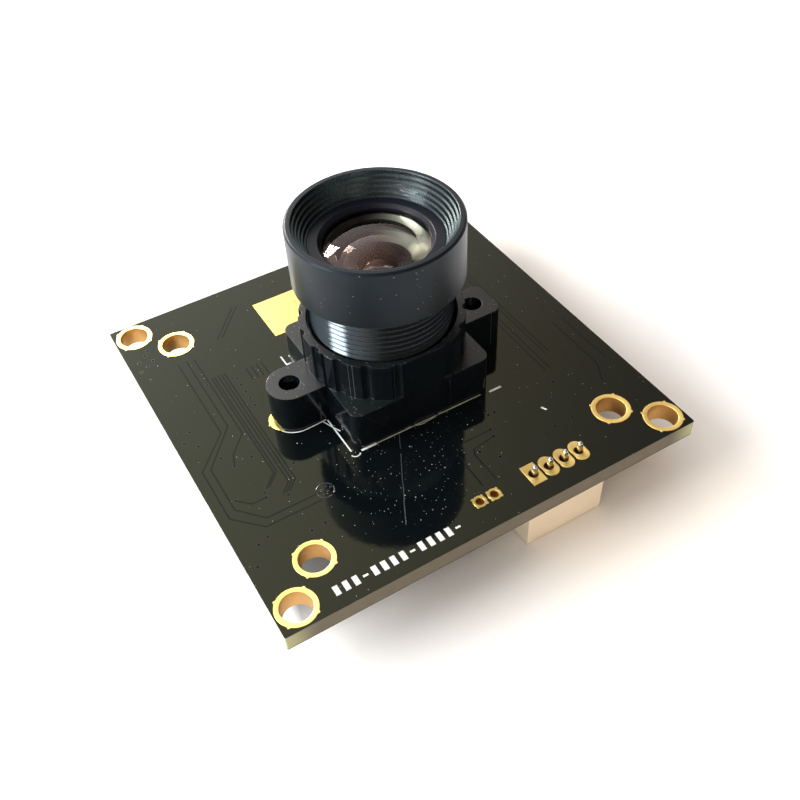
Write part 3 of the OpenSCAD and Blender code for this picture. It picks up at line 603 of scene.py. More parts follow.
# one finish for each slot, and a few more for the pieces that this script adds
finishes = {
    "solder_mask": solderMask("solder_mask_finish", True),
    "mask_relief": solderMask("mask_relief_finish", False),
    "black_anodised": barrelFinish(),
    "resistor_body": resistorFinish(),
    "silicon": siliconFinish(),
    "stained_gold": stainedGold("stained_gold_finish", {**plainLooks["gold_plate"], **groundPadLook}),
}
for slotName, look in plainLooks.items():
    finishes[slotName] = plainFinish(slotName + "_finish", look)
for slotName, look in glassLooks.items():
    finishes[slotName] = glassFinish(slotName + "_finish", look)
ownFinish = {"ground_pad": "stained_gold", "retaining_ring": "ring_black"}
for row in frame["record"]["subparts"]:
    node = nodes[row["node"]]
    node.data.materials.clear()
    node.data.materials.append(finishes[ownFinish.get(row["node"], row["material_slot"])])
print("finishes:", len(finishes), "on", len(nodes), "parts")


# meshes for the smaller pieces, in millimetres

def newPiece(name, body, slotName, finish, points, faces, smoothUnder=0.0):
    mesh = bpy.data.meshes.new(name)
    mesh.from_pydata([[value * mm for value in point] for point in points], [], faces)
    mesh.materials.append(finish)
    shape = bmesh.new()
    shape.from_mesh(mesh)
    bmesh.ops.recalc_face_normals(shape, faces=shape.faces)
    for face in shape.faces:
        face.smooth = smoothUnder > 0
    for edge in shape.edges:
        if len(edge.link_faces) == 2:
            edge.smooth = edge.calc_face_angle() < math.radians(smoothUnder)
    shape.to_mesh(mesh)
    shape.free()
    piece = bpy.data.objects.new(name, mesh)
    bpy.context.scene.collection.objects.link(piece)
    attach(piece, body)
    return piece


def joinLoops(points, faces, loops, wrap=False, capped=False):
    # quads between closed loops that have the same number of points
    base, count = len(points), len(loops[0])
    for loop in loops:
        points.extend(loop)
    for n in range(len(loops) if wrap else len(loops) - 1):
        a, b = base + n * count, base + (n + 1) % len(loops) * count
        for k in range(count):
            after = (k + 1) % count
            faces.append((a + k, a + after, b + after, b + k))
    if capped:
        faces.append(tuple(base + k for k in reversed(range(count))))
        faces.append(tuple(base + (len(loops) - 1) * count + k for k in range(count)))


def addRibbon(points, faces, route, width, z, height, slope=1.0):
    # a raised strip with sloped sides along a route, mitred at its bends
    base = len(points)
    spots = [Vector(spot) for spot in route]
    for i, spot in enumerate(spots):
        before = (spot - spots[i - 1]).normalized() if i > 0 else None
        after = (spots[i + 1] - spot).normalized() if i < len(spots) - 1 else None
        along = ((before or after) + (after or before)).normalized()
        side = Vector((-along.y, along.x))
        straight = before or after
        share = 1 / max(0.4, side.dot(Vector((-straight.y, straight.x))))
        foot = width / 2 + abs(height) * slope
        for reach, lift in ((-foot, 0), (-width / 2, height), (width / 2, height), (foot, 0)):
            at = spot + side * reach * share
            points.append((at.x, at.y, z + lift))
    for i in range(len(spots) - 1):
        a = base + 4 * i
        for k in range(4):
            faces.append((a + k, a + (k + 1) % 4, a + 4 + (k + 1) % 4, a + 4 + k))
    faces.append((base + 3, base + 2, base + 1, base))
    last = base + 4 * (len(spots) - 1)
    faces.append((last, last + 1, last + 2, last + 3))


def circleLoop(spot, radius, z, sides):
    turns = [2 * math.pi * k / sides for k in range(sides)]
    return [(spot[0] + radius * math.cos(turn), spot[1] + radius * math.sin(turn), z) for turn in turns]


def addDisc(points, faces, spot, radius, z, height, sides):
    # a low disc, a little narrower at its top
    loops = [circleLoop(spot, radius, z, sides), circleLoop(spot, 0.86 * radius, z + height, sides)]
    joinLoops(points, faces, loops, capped=True)


def addRing(points, faces, spot, inner, outer, z, height, sides):
    # a low ring with one ridge
    middle = (inner + outer) / 2
    loops = [
        circleLoop(spot, radius, level, sides)
        for radius, level in ((outer, z), (middle, z + height), (inner, z))
    ]
    joinLoops(points, faces, loops, wrap=True)


def arcPoints(centre, radius, start, stop, count):
    turns = [math.radians(start + (stop - start) * k / count) for k in range(count + 1)]
    return [(centre[0] + radius * math.cos(turn), centre[1] + radius * math.sin(turn)) for turn in turns]


# plated holes: pad, rounded lip and barrel in one skin

platingLook = {
    "padHeight": 0.05, "edgeBevel": 0.022, "lip": 0.045, "nub": 0.13,
    "mountHole": 1.25, "mountRing": 1.67, "mountDrill": 1.37, "mountHalves": (17.0, 14.0),
    "testHole": 0.34, "testRing": 0.58, "testDrill": 0.42, "testColumns": (0.62, -0.74),
    "pinHole": 0.4028, "pinDrill": 0.4828, "padWide": 1.3, "padLong": 2.1,
    "slotHole": 0.91, "slotRing": 1.33, "slotDrill": 1.03, "slotFrom": 9.0, "slotTo": 10.0,
}
mountSpots = [(x * half, y * half) for half in platingLook["mountHalves"] for x in (-1, 1) for y in (-1, 1)]
padRow, firstPad, padPitch = -16.2, 4.35, 1.5
padColumns = [firstPad + padPitch * number for number in range(4)]


def nubbedReach(turn, radius, centres):
    # distance to the edge of a disc that carries small nubs
    nub = platingLook["nub"]
    best = radius
    for centre in centres:
        off = abs((turn - math.radians(centre) + math.pi) % (2 * math.pi) - math.pi)
        if off < math.pi / 2 and radius * math.sin(off) < nub:
            best = max(best, radius * math.cos(off) + math.sqrt(nub ** 2 - (radius * math.sin(off)) ** 2))
    return best


def roundRays(spot, reach, sides=184):
    # rays out of one centre, each with the distance to the pad's edge
    turns = [2 * math.pi * k / sides for k in range(sides)]
    return [(*spot, math.cos(turn), math.sin(turn), reach(turn)) for turn in turns]


def slotRays(side, radius):
    # rays out of the slot's middle line, round its outer end and back round its inner end
    inner, outer, nub = platingLook["slotFrom"], platingLook["slotTo"], platingLook["nub"]
    outerTurns, innerTurns, steps = 60, 40, 28
    rays = []
    for k in range(outerTurns + 1):
        turn = math.radians(-90 + 180 / outerTurns * k)
        rays.append((outer, math.cos(turn), math.sin(turn), nubbedReach(turn, radius, (-90, 0, 90))))
    straight = [outer + (inner - outer) * k / steps for k in range(1, steps)]
    reaches = [radius + math.sqrt(max(0, nub ** 2 - (outer - x) ** 2)) for x in straight]
    rays += [(x, 0, 1, reach) for x, reach in zip(straight, reaches)]
    for k in range(innerTurns + 1):
        turn = math.radians(90 + 180 / innerTurns * k)
        rays.append((inner, math.cos(turn), math.sin(turn), radius))
    rays += [(x, 0, -1, reach) for x, reach in zip(reversed(straight), reversed(reaches))]
    return [(axisX + side * x, 0, side * dx, side * dy, reach) for x, dx, dy, reach in rays]


def addPlating(points, faces, rays, hole, drill):
    # one closed skin: over the upper pad, down the hole, round the lower pad and up the drilled bore
    pad, bevel, lip = platingLook["padHeight"], platingLook["edgeBevel"], platingLook["lip"]
    over, under = boardTop + pad, boardBottom - pad
    steps = [("edge", 0, boardTop), ("edge", 0, over - bevel), ("edge", -bevel, over)]
    bend = [math.radians(22.5 * k) for k in range(5)]
    steps += [("hole", lip * (1 - math.sin(turn)), over - lip * (1 - math.cos(turn))) for turn in bend]
    steps += [("hole", lip * (1 - math.cos(turn)), under + lip * (1 - math.sin(turn))) for turn in bend]
    steps += [("edge", -bevel, under), ("edge", 0, under + bevel), ("edge", 0, boardBottom)]
    steps += [("drill", 0, boardBottom), ("drill", 0, boardTop)]
    radii = {"hole": hole, "drill": drill}
    loops = []
    for kind, shift, z in steps:
        loop = []
        for x, y, dx, dy, reach in rays:
            radius = radii.get(kind, reach) + shift
            loop.append((x + radius * dx, y + radius * dy, z))
        loops.append(loop)
    joinLoops(points, faces, loops, wrap=True)


def plated(name, rayFans, hole, drill):
    points, faces = [], []
    for rays in rayFans:
        addPlating(points, faces, rays, hole, drill)
    return newPiece(name, "board", "gold_plate", finishes["gold_plate"], points, faces, 40)


def boxReach(turn):
    # distance to the edge of the first contact's square-cornered pad
    across, along = abs(math.cos(turn)), abs(math.sin(turn))
    halfWide, halfLong = platingLook["padWide"] / 2, platingLook["padLong"] / 2
    return min(halfWide / max(across, 1e-9), halfLong / max(along, 1e-9))


def stadiumReach(turn):
    # distance to the edge of the other contacts' round-ended pads
    across, along = abs(math.cos(turn)), abs(math.sin(turn))
    halfWide, halfLong = platingLook["padWide"] / 2, platingLook["padLong"] / 2
    straight = halfLong - halfWide
    if halfWide * along <= straight * across:
        return halfWide / across
    return straight * along + math.sqrt(halfWide ** 2 - (straight * across) ** 2)


def makePlatings():
    look = platingLook
    diagonals = (45, 135, 225, 315)
    rings = [
        roundRays(spot, lambda turn: nubbedReach(turn, look["mountRing"], diagonals)) for spot in mountSpots
    ]
    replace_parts(plated("mount_rings", rings, look["mountHole"], look["mountDrill"]), "mount_hole_platings")

    rings = [
        roundRays((column, padRow), lambda turn: nubbedReach(turn, look["testRing"], diagonals))
        for column in look["testColumns"]
    ]
    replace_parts(plated("test_rings", rings, look["testHole"], look["testDrill"]), "test_pads")

    pads = [
        roundRays((column, padRow), stadiumReach if number else boxReach)
        for number, column in enumerate(padColumns)
    ]
    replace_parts(plated("contact_pads", pads, look["pinHole"], look["pinDrill"]), "header_pads")

    slots = [slotRays(side, look["slotRing"]) for side in (1, -1)]
    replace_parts(plated("slot_rings", slots, look["slotHole"], look["slotDrill"]), "holder_slot_platings")


pinLook = {
    "half": 0.2, "low": -3.85, "high": 2.55, "shift": 0.08, "squareness": 5.0,
    "tip": ((0.42, 0.0), (0.72, 0.025), (0.9, 0.075), (1.0, 0.16)),
}


def pinLoop(column, half, z, sides=32):
    # a square with rounded corners
    loop = []
    for k in range(sides):
        turn = 2 * math.pi * (k + 0.5) / sides
        across, along = math.cos(turn), math.sin(turn)
        power = pinLook["squareness"]
        reach = half / (abs(across) ** power + abs(along) ** power) ** (1 / power)
        loop.append((column + reach * across, padRow + reach * along, z))
    return loop


def makePins():
    points, faces = [], []
    half, low, high = pinLook["half"], pinLook["low"], pinLook["high"]
    for column in padColumns:
        rows = [(share, low + drop) for share, drop in pinLook["tip"]]
        rows += [(share, high - drop) for share, drop in reversed(pinLook["tip"])]
        loops = [pinLoop(column + pinLook["shift"], share * half, z) for share, z in rows]
        joinLoops(points, faces, loops, capped=True)
    piece = newPiece("contact_pins", "board", "tinned_pin", finishes["tinned_pin"], points, faces, 60)
    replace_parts(piece, "connector_pins")


# lens glass, turned about the lens axis

frontGlass = {
    "radius": 4.92, "low": 14.65, "rim": 15.75, "dome": (4.27, 0.8), "hollow": (3.2, 0.7), "bevel": 0.03,
}
secondGlass = {
    "radius": 4.17, "low": 11.95, "rim": 13.15, "dome": (1.6, 0.5), "hollow": (1.6, 0.25), "bevel": 0.03,
}


def domeCurve(radius, height, z, steps=20):
    # from the rim of a dome in to its middle
    ball = (radius ** 2 + height ** 2) / (2 * height)
    reach = math.asin(radius / ball)
    turns = [reach * (1 - k / steps) for k in range(steps)]
    return [(ball * math.sin(turn), z + height - ball * (1 - math.cos(turn))) for turn in turns]


def turnGlass(name, shape, finish, segments=96):
    radius, low, rim, bevel = shape["radius"], shape["low"], shape["rim"], shape["bevel"]
    upper = list(reversed(domeCurve(*shape["dome"], rim)))
    lower = domeCurve(*shape["hollow"], low)
    middle = [(radius - bevel, rim), (radius, rim - bevel), (radius, low + bevel), (radius - bevel, low)]
    points, faces = [], []
    loops = [circleLoop((axisX, 0), reach, z, segments) for reach, z in upper + middle + lower]
    joinLoops(points, faces, loops)
    # the two middles are closed with a fan of triangles
    ends = ((0, rim + shape["dome"][1]), (len(points) - segments, low + shape["hollow"][1]))
    for ring, z in ends:
        points.append((axisX, 0, z))
        pole = len(points) - 1
        faces.extend((pole, ring + k, ring + (k + 1) % segments) for k in range(segments))
    return newPiece(name, "lens", "coated_glass", finishes[finish], points, faces, 30)


def makeGlass():
    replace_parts(turnGlass("front_glass", frontGlass, "coated_glass"), "front_element")
    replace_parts(turnGlass("second_glass", secondGlass, "second_glass"), "second_element")


# copper tracks under the mask, vias, printed legend and wear on the board's top

trackLook = {"width": 0.05, "height": 0.003, "slope": 14.0, "seat": 0.001}
leftTracks = (
    ((-14.9, 11.3), (-14.9, 1.5), (-17.9, -1.7), (-17.9, -7.2), (-15.8, -9.4), (-11.0, -9.4)),
    ((-14.1, 11.3), (-14.1, 1.9), (-17.2, -1.8), (-17.2, -6.6), (-15.4, -8.65), (-10.5, -8.65)),
    ((-13.4, 11.2), (-13.4, 0.5), (-15.0, -1.3), (-15.4, -2.5)),
    ((-16.8, -5.8), (-15.8, -6.8), (-14.6, -6.8)),
    ((-7.5, 16.0), (-10.5, 12.5)), ((-7.1, 15.9), (-10.1, 12.4)),
)
rightTracks = (
    ((12.2, 10.0), (12.2, -7.3)), ((12.7, 10.0), (12.7, -7.3)),
    ((13.5, 9.2), (13.5, -5.5)), ((13.9, 9.2), (13.9, -5.5)),
    ((16.5, -2.5), (16.5, -9.0), (15.5, -11.0)), ((17.6, -2.5), (17.6, -8.9)),
)
frontTracks = (
    ((4.2, -10.45), (1.3, -10.45), (0.4, -11.2), (0.35, -15.0)),
    ((4.0, -11.2), (1.9, -11.5), (1.6, -12.0), (1.6, -15.0)),
    ((1.2, -8.6), (4.0, -8.6), (5.3, -7.4)), ((2.0, -8.2), (4.0, -8.2)),
    ((-7.6, -4.7), (-7.6, -7.2), (-7.0, -7.9)),
)


def fannedTracks():
    # five close tracks beside the holder that bend out one after another
    routes = []
    for number, x in enumerate((-13.0, -12.75, -12.4, -12.1, -11.8)):
        if number < 2:
            routes.append(((x, 8.0), (x, -4.8), (x - 1.2, -6.0)))
        else:
            routes.append(((x, 8.0), (x, -6.3), (x - 0.9, -7.2)))
    routes += [((x, 7.5), (x, 5.8)) for x in (-9.9, -9.4, -8.9, -8.4)]
    return routes


def newTracks(name, routes, z, side):
    # side is 1 for the top of the board and -1 for its underside
    look = trackLook
    points, faces = [], []
    for route in routes:
        addRibbon(
            points, faces, route, look["width"], z - side * look["seat"],
            side * (look["height"] + look["seat"]), look["slope"],
        )
    newPiece(name, "board", "solder_mask", finishes["mask_relief"], points, faces)


viaLook = {"hole": 0.11, "rim": 0.2, "rimHeight": 0.002, "holeHeight": 0.005, "seat": 0.001}
viaSpots = (
    (-16, -1.1), (-13.8, -2.3), (-12.8, -1), (-17.9, -12.4), (-17, -10.6), (-16.1, -10.3), (-13, -11.6),
    (-11.8, -11.5), (-11.2, -4.8), (-17.8, 6.8), (-18, 2), (-17.1, 3), (-17.1, 1.1), (-13.7, 7.4),
    (-11.1, 6.8), (-11.1, 5.8), (-11.1, 4.8), (-11.1, 3.9), (-11.1, 2.9), (-18, 12.2), (-17.3, 12.6),
    (-16.6, 13.1), (-17.8, 13.4), (-17, 14.1), (-16.6, 14.6), (5, -8.5), (5, -9), (5.6, -9), (11.9, -8.8),
    (8.9, -13), (10.7, -13), (3.2, -13.3), (2.1, -12), (-15.4, -2.5), (-14.5, -6.3), (-13, -7.5),
    (-16.8, -5.8), (-14.6, -6.8), (5.3, -7.4), (-7.0, -7.9), (4.2, -10.45), (4.0, -11.2), (1.2, -8.6),
)


def newVias(rimName, holeName, spots, z, side):
    look = viaLook
    rims, holes = ([], []), ([], [])
    foot = z - side * look["seat"]
    for spot in spots:
        addRing(*rims, spot, look["hole"], look["rim"], foot, side * look["rimHeight"], 20)
        # each hole is a black disc in place of an open hole: painted shade
        addDisc(*holes, spot, look["hole"], foot, side * look["holeHeight"], 14)
    newPiece(rimName, "board", "solder_mask", finishes["via_rim"], *rims, 60)
    newPiece(holeName, "board", "solder_mask", finishes["via_hole"], *holes)


legendLook = {
    "height": 0.012, "slope": 0.4, "bars": 14, "barStart": -13.9, "barPitch": 0.80, "barRow": -17.3,
    "barWidth": 0.42, "barReach": 0.42, "dashReach": 0.09,
}
# each stroke has its width and then the points that it runs through
printedStrokes = (
    (0.12, (-6.66, -2.1), (-6.66, -6.3)),
    (0.07, (-7.1, -2.0), (-6.75, -2.9), (-6.35, -3.8)),
    (0.09, *arcPoints((-8.7, 0.0), 2.08, 212, 268, 10), (-7.6, -2.05), (-6.75, -1.99)),
    (0.2, (-5.9, -6.63), (-4.5, -6.63)),
    (0.13, (-6.6, 7.1), (-6.6, 5.9), (-5.9, 5.9)),
    (0.11, (-5.9, 6.1), (-5.9, 6.9)),
    (0.2, (6.6, -6.8), (7.8, -6.8)),
    (0.16, (9.2, -10.7), (9.45, -11.15)),
    (0.09, *arcPoints((-6.45, -6.6), 0.4, 190, 330, 10)),
)
wornStrokes = (
    (0.11, (-4.5, -6.63), (5.8, -6.66)),
    (0.08, (-3.0, -6.12), (-2.0, -6.35), (-0.2, -6.84), (1.2, -6.72), (3.1, -6.08)),
)


def plainBars():
    # a row of plain bars in groups, with short dashes between them
    look = legendLook
    for number in range(look["bars"]):
        x = look["barStart"] + number * look["barPitch"]
        reach = look["dashReach"] if number % 5 == 3 else look["barReach"]
        yield (look["barWidth"], (x, look["barRow"] - reach), (x, look["barRow"] + reach))


def newPrint(name, finish, strokes):
    points, faces = [], []
    for width, *route in strokes:
        addRibbon(points, faces, route, width, boardTop, legendLook["height"], legendLook["slope"])
    newPiece(name, "board", "legend_ink", finishes[finish], points, faces)


scratchLook = {
    "from": (-1.9, -5.85), "to": (-6.7, -15.0), "gap": (0.26, 0.31), "steps": 24, "waver": 0.02,
    "width": 0.05, "height": 0.006, "slope": 1.5,
}


def makeScratch():
    # one long scratch with a break
    look = scratchLook
    points, faces = [], []
    start, stop = Vector(look["from"]), Vector(look["to"])
    chance = random.Random(4)
    for low, high in ((0.0, look["gap"][0]), (look["gap"][1], 1.0)):
        count = max(3, round((high - low) * look["steps"]))
        route = []
        for k in range(count + 1):
            spot = start.lerp(stop, low + (high - low) * k / count)
            route.append((spot.x + chance.uniform(-look["waver"], look["waver"]), spot.y))
        addRibbon(points, faces, route, look["width"], boardTop, look["height"], look["slope"])
    newPiece("board_scratch", "board", "solder_mask", finishes["scratch"], points, faces)


# the drops each have a direction and a distance from the middle, and a radius
fluxLook = {
    "at": (-10.3, -8.7), "ring": 0.72, "arcs": ((20, 150), (175, 290), (310, 370)), "ringWidth": 0.05,
    "ringHeight": 0.014, "ringSlope": 3.0, "dropHeight": 0.03,
    "drops": ((10, 0.5, 0.12), (150, 0.3, 0.17), (230, 0.45, 0.1), (300, 0.2, 0.12), (60, 0.4, 0.09)),
}


def makeFlux():
    # a small dried ring of flux, with a few drops inside it
    look = fluxLook
    points, faces = [], []
    x, y = look["at"]
    for begin, end in look["arcs"]:
        route = arcPoints(look["at"], look["ring"], begin, end, 14)
        addRibbon(points, faces, route, look["ringWidth"], boardTop, look["ringHeight"], look["ringSlope"])
    for turn, reach, radius in look["drops"]:
        spot = (x + reach * math.cos(math.radians(turn)), y + reach * math.sin(math.radians(turn)))
        addDisc(points, faces, spot, radius, boardTop, look["dropHeight"], 12)
    newPiece("flux_ring", "board", "solder_mask", finishes["flux"], points, faces, 40)


# tracks and vias on the board's underside

underTracks = (
    ((-8.5, 13.0), (-8.5, 9.9), (-6.0, 7.4), (-3.6, 7.4)),
    ((-7.9, 13.0), (-7.9, 10.2), (-5.7, 8.0), (-3.6, 8.0)),
    ((6.4, 6.6), (8.0, 8.2), (8.0, 13.5), (11.6, 15.5)),
    ((6.4, 6.0), (8.6, 8.2), (8.6, 13.0), (12.0, 14.8)),
    ((-5.8, 0.4), (-10.2, 0.4), (-12.6, -2.0), (-12.6, -7.4)),
    ((-5.8, -0.2), (-9.9, -0.2), (-11.9, -2.2), (-11.9, -6.8)),
    ((4.4, -13.4), (4.4, -8.0), (2.6, -6.2), (2.6, -1.6)),
    ((5.9, -13.4), (5.9, -7.6), (3.1, -4.8), (3.1, -1.6)),
    ((7.4, -13.4), (7.4, -8.4), (9.4, -6.4), (9.4, -0.8)),
    ((8.9, -13.4), (8.9, -9.4), (10.4, -7.9), (10.4, -5.2)),
    ((13.2, 2.4), (15.2, 0.4), (15.2, -8.2), (13.6, -9.8)),
    ((-15.8, 11.5), (-15.8, 2.2), (-14.2, 0.6), (-14.2, -8.6)),
    ((-16.6, 10.9), (-16.6, 1.8), (-15.0, 0.2), (-15.0, -8.0)),
    ((-3.0, 12.2), (0.4, 12.2), (2.2, 10.4), (2.2, 8.6)),
)
underVias = (
    (-8.5, 13.4), (-7.9, 13.4), (11.9, 15.7), (12.3, 15.0), (-12.6, -7.8), (-11.9, -7.2), (13.3, -10.1),
    (13.0, 2.7), (-14.2, -9.0), (-15.0, -8.4), (-3.3, 12.2), (10.4, -4.8), (9.4, -0.4), (-15.8, 11.9),
    (-16.6, 11.3), (15.6, 6.4), (15.6, 4.9), (0.2, -14.4), (-2.2, -13.9), (-9.2, -14.3), (-13.9, 4.3),
)


makePlatings()
makePins()
makeGlass()
print("pads, pins and glass")
newTracks("top_tracks", (*leftTracks, *rightTracks, *frontTracks, *fannedTracks()), boardTop, 1)
newVias("via_rims", "via_holes", viaSpots, boardTop, 1)
newPrint("legend", "legend_ink", (*printedStrokes, *plainBars()))
newPrint("worn_legend", "worn_legend", wornStrokes)
makeScratch()
makeFlux()
newTracks("under_tracks", underTracks, boardBottom, -1)
newVias("under_via_rims", "under_via_holes", underVias, boardBottom, -1)
print("tracks, vias, legend, scratch and flux")


# floor, light and camera

cameraView = {
    "target": (-0.339, -3.439, 1.6), "azimuth": 28.26, "elevation": 46.03,
    "distance": 80.8, "roll": -3.51, "lens": 42.42, "sensor": 36.0,
}


def makeCamera():
    turn, tilt = math.radians(cameraView["azimuth"]), math.radians(cameraView["elevation"])
    forward = Vector((
        math.sin(turn) * math.cos(tilt), math.cos(turn) * math.cos(tilt), -math.sin(tilt),
    ))
    level = forward.cross(Vector((0, 0, 1))).normalized()
    upright = level.cross(forward)
    roll = math.radians(cameraView["roll"])
    right = math.cos(roll) * level + math.sin(roll) * upright
    up = right.cross(forward)
    data = bpy.data.cameras.new("view")
    data.sensor_width = cameraView["sensor"]
    data.lens = cameraView["lens"]
    data.clip_start, data.clip_end = mm, 10
    camera = bpy.data.objects.new("view", data)
    place = (Vector(cameraView["target"]) - forward * cameraView["distance"]) * mm
    axes = Matrix((right, up, -forward)).transposed().to_4x4()
    camera.matrix_world = Matrix.Translation(place) @ axes
    bpy.context.scene.collection.objects.link(camera)
    bpy.context.scene.camera = camera


# brightSide is where the room is brightest, and spread is how far that light reaches
roomLook = {
    "brightSide": (-0.75, 0.66, 0.04), "dim": 0.19, "bright": 1.75, "spread": (-0.26, 0.62),
    "coolTint": colour(0.95, 0.98, 1.03), "warmTint": colour(1.0, 0.87, 0.78),
}
# along warmFrom on X the floor turns from cool to warm, a painted tint of the light beside the board; near, left
# and the shadow band are distances out from the board's edge, and the shadow level is the share of light left in
# the painted shadow under the board
floorLook = {
    "side": 620.0, "gap": 0.05, "tone": colour(0.8, 0.8, 0.8), "glow": 0.02,
    "far": colour(1.12, 1.12, 1.12), "cool": colour(0.97, 0.975, 0.98), "warm": colour(0.94, 0.885, 0.81),
    "warmFrom": (-12.0, 8.0), "near": (3.0, 16.0), "left": (-3.4, -2.0),
    "shadowBand": (-7.0, -1.0), "shadowLevel": 0.25,
}
lampDistance = 420.0
# each window: turn from +Y towards +X and height above the horizon in degrees, width, panes from
# the top down, bar between them, columns, the power that lights, the power that is mirrored, tint
windows = (
    {
        "name": "window", "turn": -70.0, "height": 31.0, "width": 142.0, "panes": (118.0, 118.0),
        "bar": 12.0, "columns": 2, "power": 2.5, "mirrored": 1.1, "tint": (1.0, 0.985, 0.965),
    },
    {
        "name": "side_window", "turn": -82.0, "height": 24.0, "width": 150.0, "panes": (70.0, 70.0),
        "bar": 8.0, "columns": 1, "power": 0.0, "mirrored": 1.6, "tint": (0.97, 0.99, 1.0),
    },
    {
        "name": "tall_window", "turn": -4.0, "height": 26.0, "width": 64.0, "panes": (34.0, 60.0, 92.0),
        "bar": 9.0, "columns": 1, "power": 0.0, "mirrored": 2.6, "tint": (1.0, 0.93, 0.82),
    },
)
frontFill = {
    "name": "front_fill", "turn": 172.0, "height": 16.0, "size": (300.0, 200.0), "power": 0.55,
    "tint": (1.0, 0.84, 0.66),
}


def seenDirectly(tree):
    # 1 for rays that show a surface as it is: seen straight, in a reflection or through glass
    path = addNode(tree, "LightPath")
    total = maths(tree, "ADD", path.outputs["Is Camera Ray"], path.outputs["Is Glossy Ray"])
    return maths(tree, "ADD", total, path.outputs["Is Transmission Ray"], clamp=True)


def makeWorld():
    look = roomLook
    world = bpy.data.worlds.new("studio")
    world.use_nodes = True
    bpy.context.scene.world = world
    tree = world.node_tree
    tree.nodes.clear()
    direction = addNode(tree, "TexCoord").outputs["Generated"]
    facing = addNode(tree, "VectorMath", {"operation": "DOT_PRODUCT"}, Vector=direction)
    facing.inputs[1].default_value = Vector(look["brightSide"]).normalized()
    share = rescale(tree, facing.outputs["Value"], *look["spread"], 0.0, 1.0, smooth=True)
    level = rescale(tree, facing.outputs["Value"], *look["spread"], look["dim"], look["bright"], smooth=True)
    tint = blendColours(tree, share, look["warmTint"], look["coolTint"])
    room = addNode(tree, "Background", Color=tint, Strength=level)
    plain = addNode(tree, "Background", Color=colour(1, 1, 1), Strength=1.0)
    mixed = mixShaders(tree, addNode(tree, "LightPath").outputs["Is Camera Ray"], room, plain)
    end = addNode(tree, "OutputWorld")
    tree.links.new(mixed.outputs[0], end.inputs[0])


def floorTone(tree):
    # the floor is painted with the board's warm light beside it, and with a painted shadow right under it
    look = floorLook
    x, y, _ = addNode(tree, "SeparateXYZ", Vector=useGroup(tree, millimetres).outputs[0]).outputs
    off = maths(tree, "ABSOLUTE", y)
    outward = maths(tree, "MAXIMUM", maths(tree, "ABSOLUTE", x), off)
    near = blendColours(tree, rescale(tree, x, *look["warmFrom"], 0.0, 1.0), look["cool"], look["warm"])
    away = rescale(tree, outward, *(boardHalf + reach for reach in look["near"]), 0.0, 1.0, smooth=True)
    inner, outer = (boardHalf + reach for reach in look["shadowBand"])
    leftward = maths(tree, "MULTIPLY", x, -1.0)
    left = rescale(tree, leftward, *(boardHalf + reach for reach in look["left"]), inner, outer)
    inside = maths(tree, "MAXIMUM", maths(tree, "MAXIMUM", x, off), left)
    # painted shadow: the floor is darkened under the board, most under its left part
    share = rescale(tree, inside, inner, outer, look["shadowLevel"], 1.0, smooth=True)
    return blendColours(tree, share, colour(0, 0, 0), blendColours(tree, away, near, look["far"]))


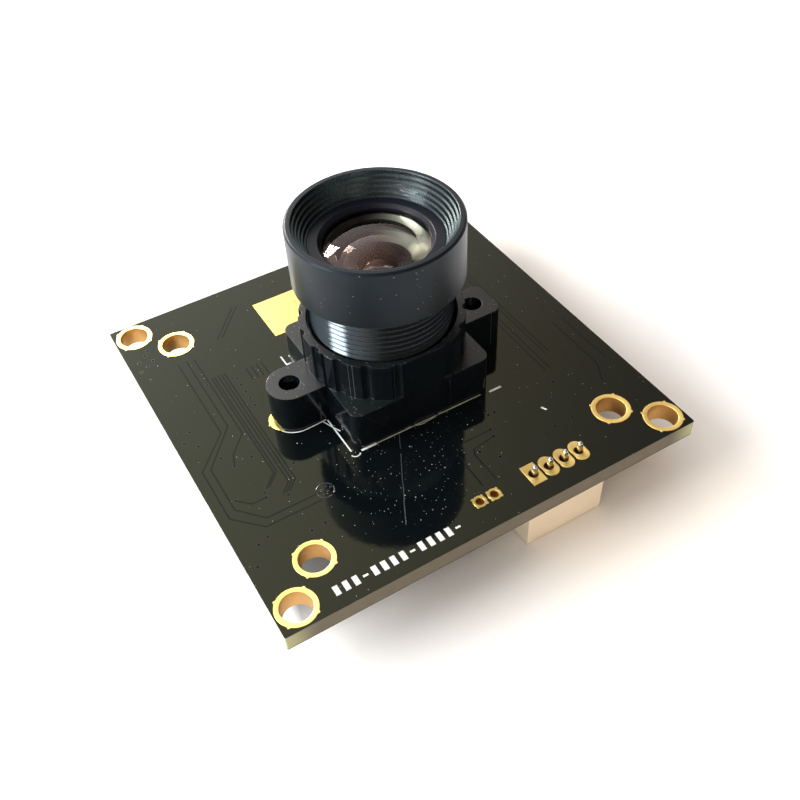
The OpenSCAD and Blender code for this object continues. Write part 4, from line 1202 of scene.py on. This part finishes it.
def makeFloor():
    look = floorLook
    material = bpy.data.materials.new("floor_finish")
    material.use_nodes = True
    tree = material.node_tree
    tree.nodes.clear()
    paper = addNode(tree, "BsdfDiffuse", Color=look["tone"])
    bright = addNode(tree, "BsdfDiffuse", Color=floorTone(tree))
    glow = addNode(tree, "Emission", Color=colour(1, 1, 1), Strength=look["glow"])
    both = addNode(tree, "AddShader")
    tree.links.new(bright.outputs[0], both.inputs[0])
    tree.links.new(glow.outputs[0], both.inputs[1])
    seen = mixShaders(tree, seenDirectly(tree), paper, both)
    clear = addNode(tree, "BsdfTransparent")
    oneSided = mixShaders(tree, addNode(tree, "NewGeometry").outputs["Backfacing"], seen, clear)
    end = addNode(tree, "OutputMaterial")
    tree.links.new(oneSided.outputs[0], end.inputs[0])
    half = look["side"] * mm / 2
    z = cadBox[0].z - look["gap"] * mm
    corners = [(-half, -half, z), (half, -half, z), (half, half, z), (-half, half, z)]
    mesh = bpy.data.meshes.new("floor")
    mesh.from_pydata(corners, [], [(0, 1, 2, 3)])
    mesh.materials.append(material)
    floor = bpy.data.objects.new("floor", mesh)
    bpy.context.scene.collection.objects.link(floor)


def addLamp(name, look, size, power, shift=(0, 0)):
    # the shift moves a lamp across and up in its own plane
    turn, tilt = math.radians(look["turn"]), math.radians(look["height"])
    away = Vector((math.sin(turn) * math.cos(tilt), math.cos(turn) * math.cos(tilt), math.sin(tilt)))
    data = bpy.data.lights.new(name, "AREA")
    data.shape = "RECTANGLE"
    data.size, data.size_y = size[0] * mm, size[1] * mm
    data.energy = power
    data.color = look["tint"]
    lamp = bpy.data.objects.new(name, data)
    across = away.cross(Vector((0, 0, 1))).normalized()
    upward = across.cross(away)
    centre = away * lampDistance + across * shift[0] + upward * shift[1]
    lamp.location = (centre + Vector((0, 0, boardTop))) * mm
    lamp.rotation_mode = "QUATERNION"
    lamp.rotation_quaternion = away.to_track_quat("Z", "Y")
    bpy.context.scene.collection.objects.link(lamp)
    return lamp


def makeWindow(look):
    # one lamp a pane lights the scene, and a weaker one in its place is what shiny faces mirror
    panes, bar, columns = look["panes"], look["bar"], look["columns"]
    area = sum(panes) * columns
    top = (sum(panes) + bar * (len(panes) - 1)) / 2
    for row, height in enumerate(panes):
        for column in range(columns):
            across = (column - (columns - 1) / 2) * (look["width"] + bar)
            for kind in ("power", "mirrored"):
                if look[kind] == 0:
                    continue
                pane = addLamp(
                    f"{look['name']}_{kind}_{row}_{column}", look, (look["width"], height),
                    look[kind] * height / area, (across, top - height / 2),
                )
                pane.visible_glossy = kind == "mirrored"
                pane.visible_diffuse = kind == "power"
        top -= height + bar


def makeLamps():
    for look in windows:
        makeWindow(look)
    lamp = addLamp(frontFill["name"], frontFill, frontFill["size"], frontFill["power"])
    lamp.visible_glossy = False


makeCamera()
makeWorld()
makeFloor()
makeLamps()
bpy.context.scene.view_settings.view_transform = "Standard"
print("floor, light and camera")
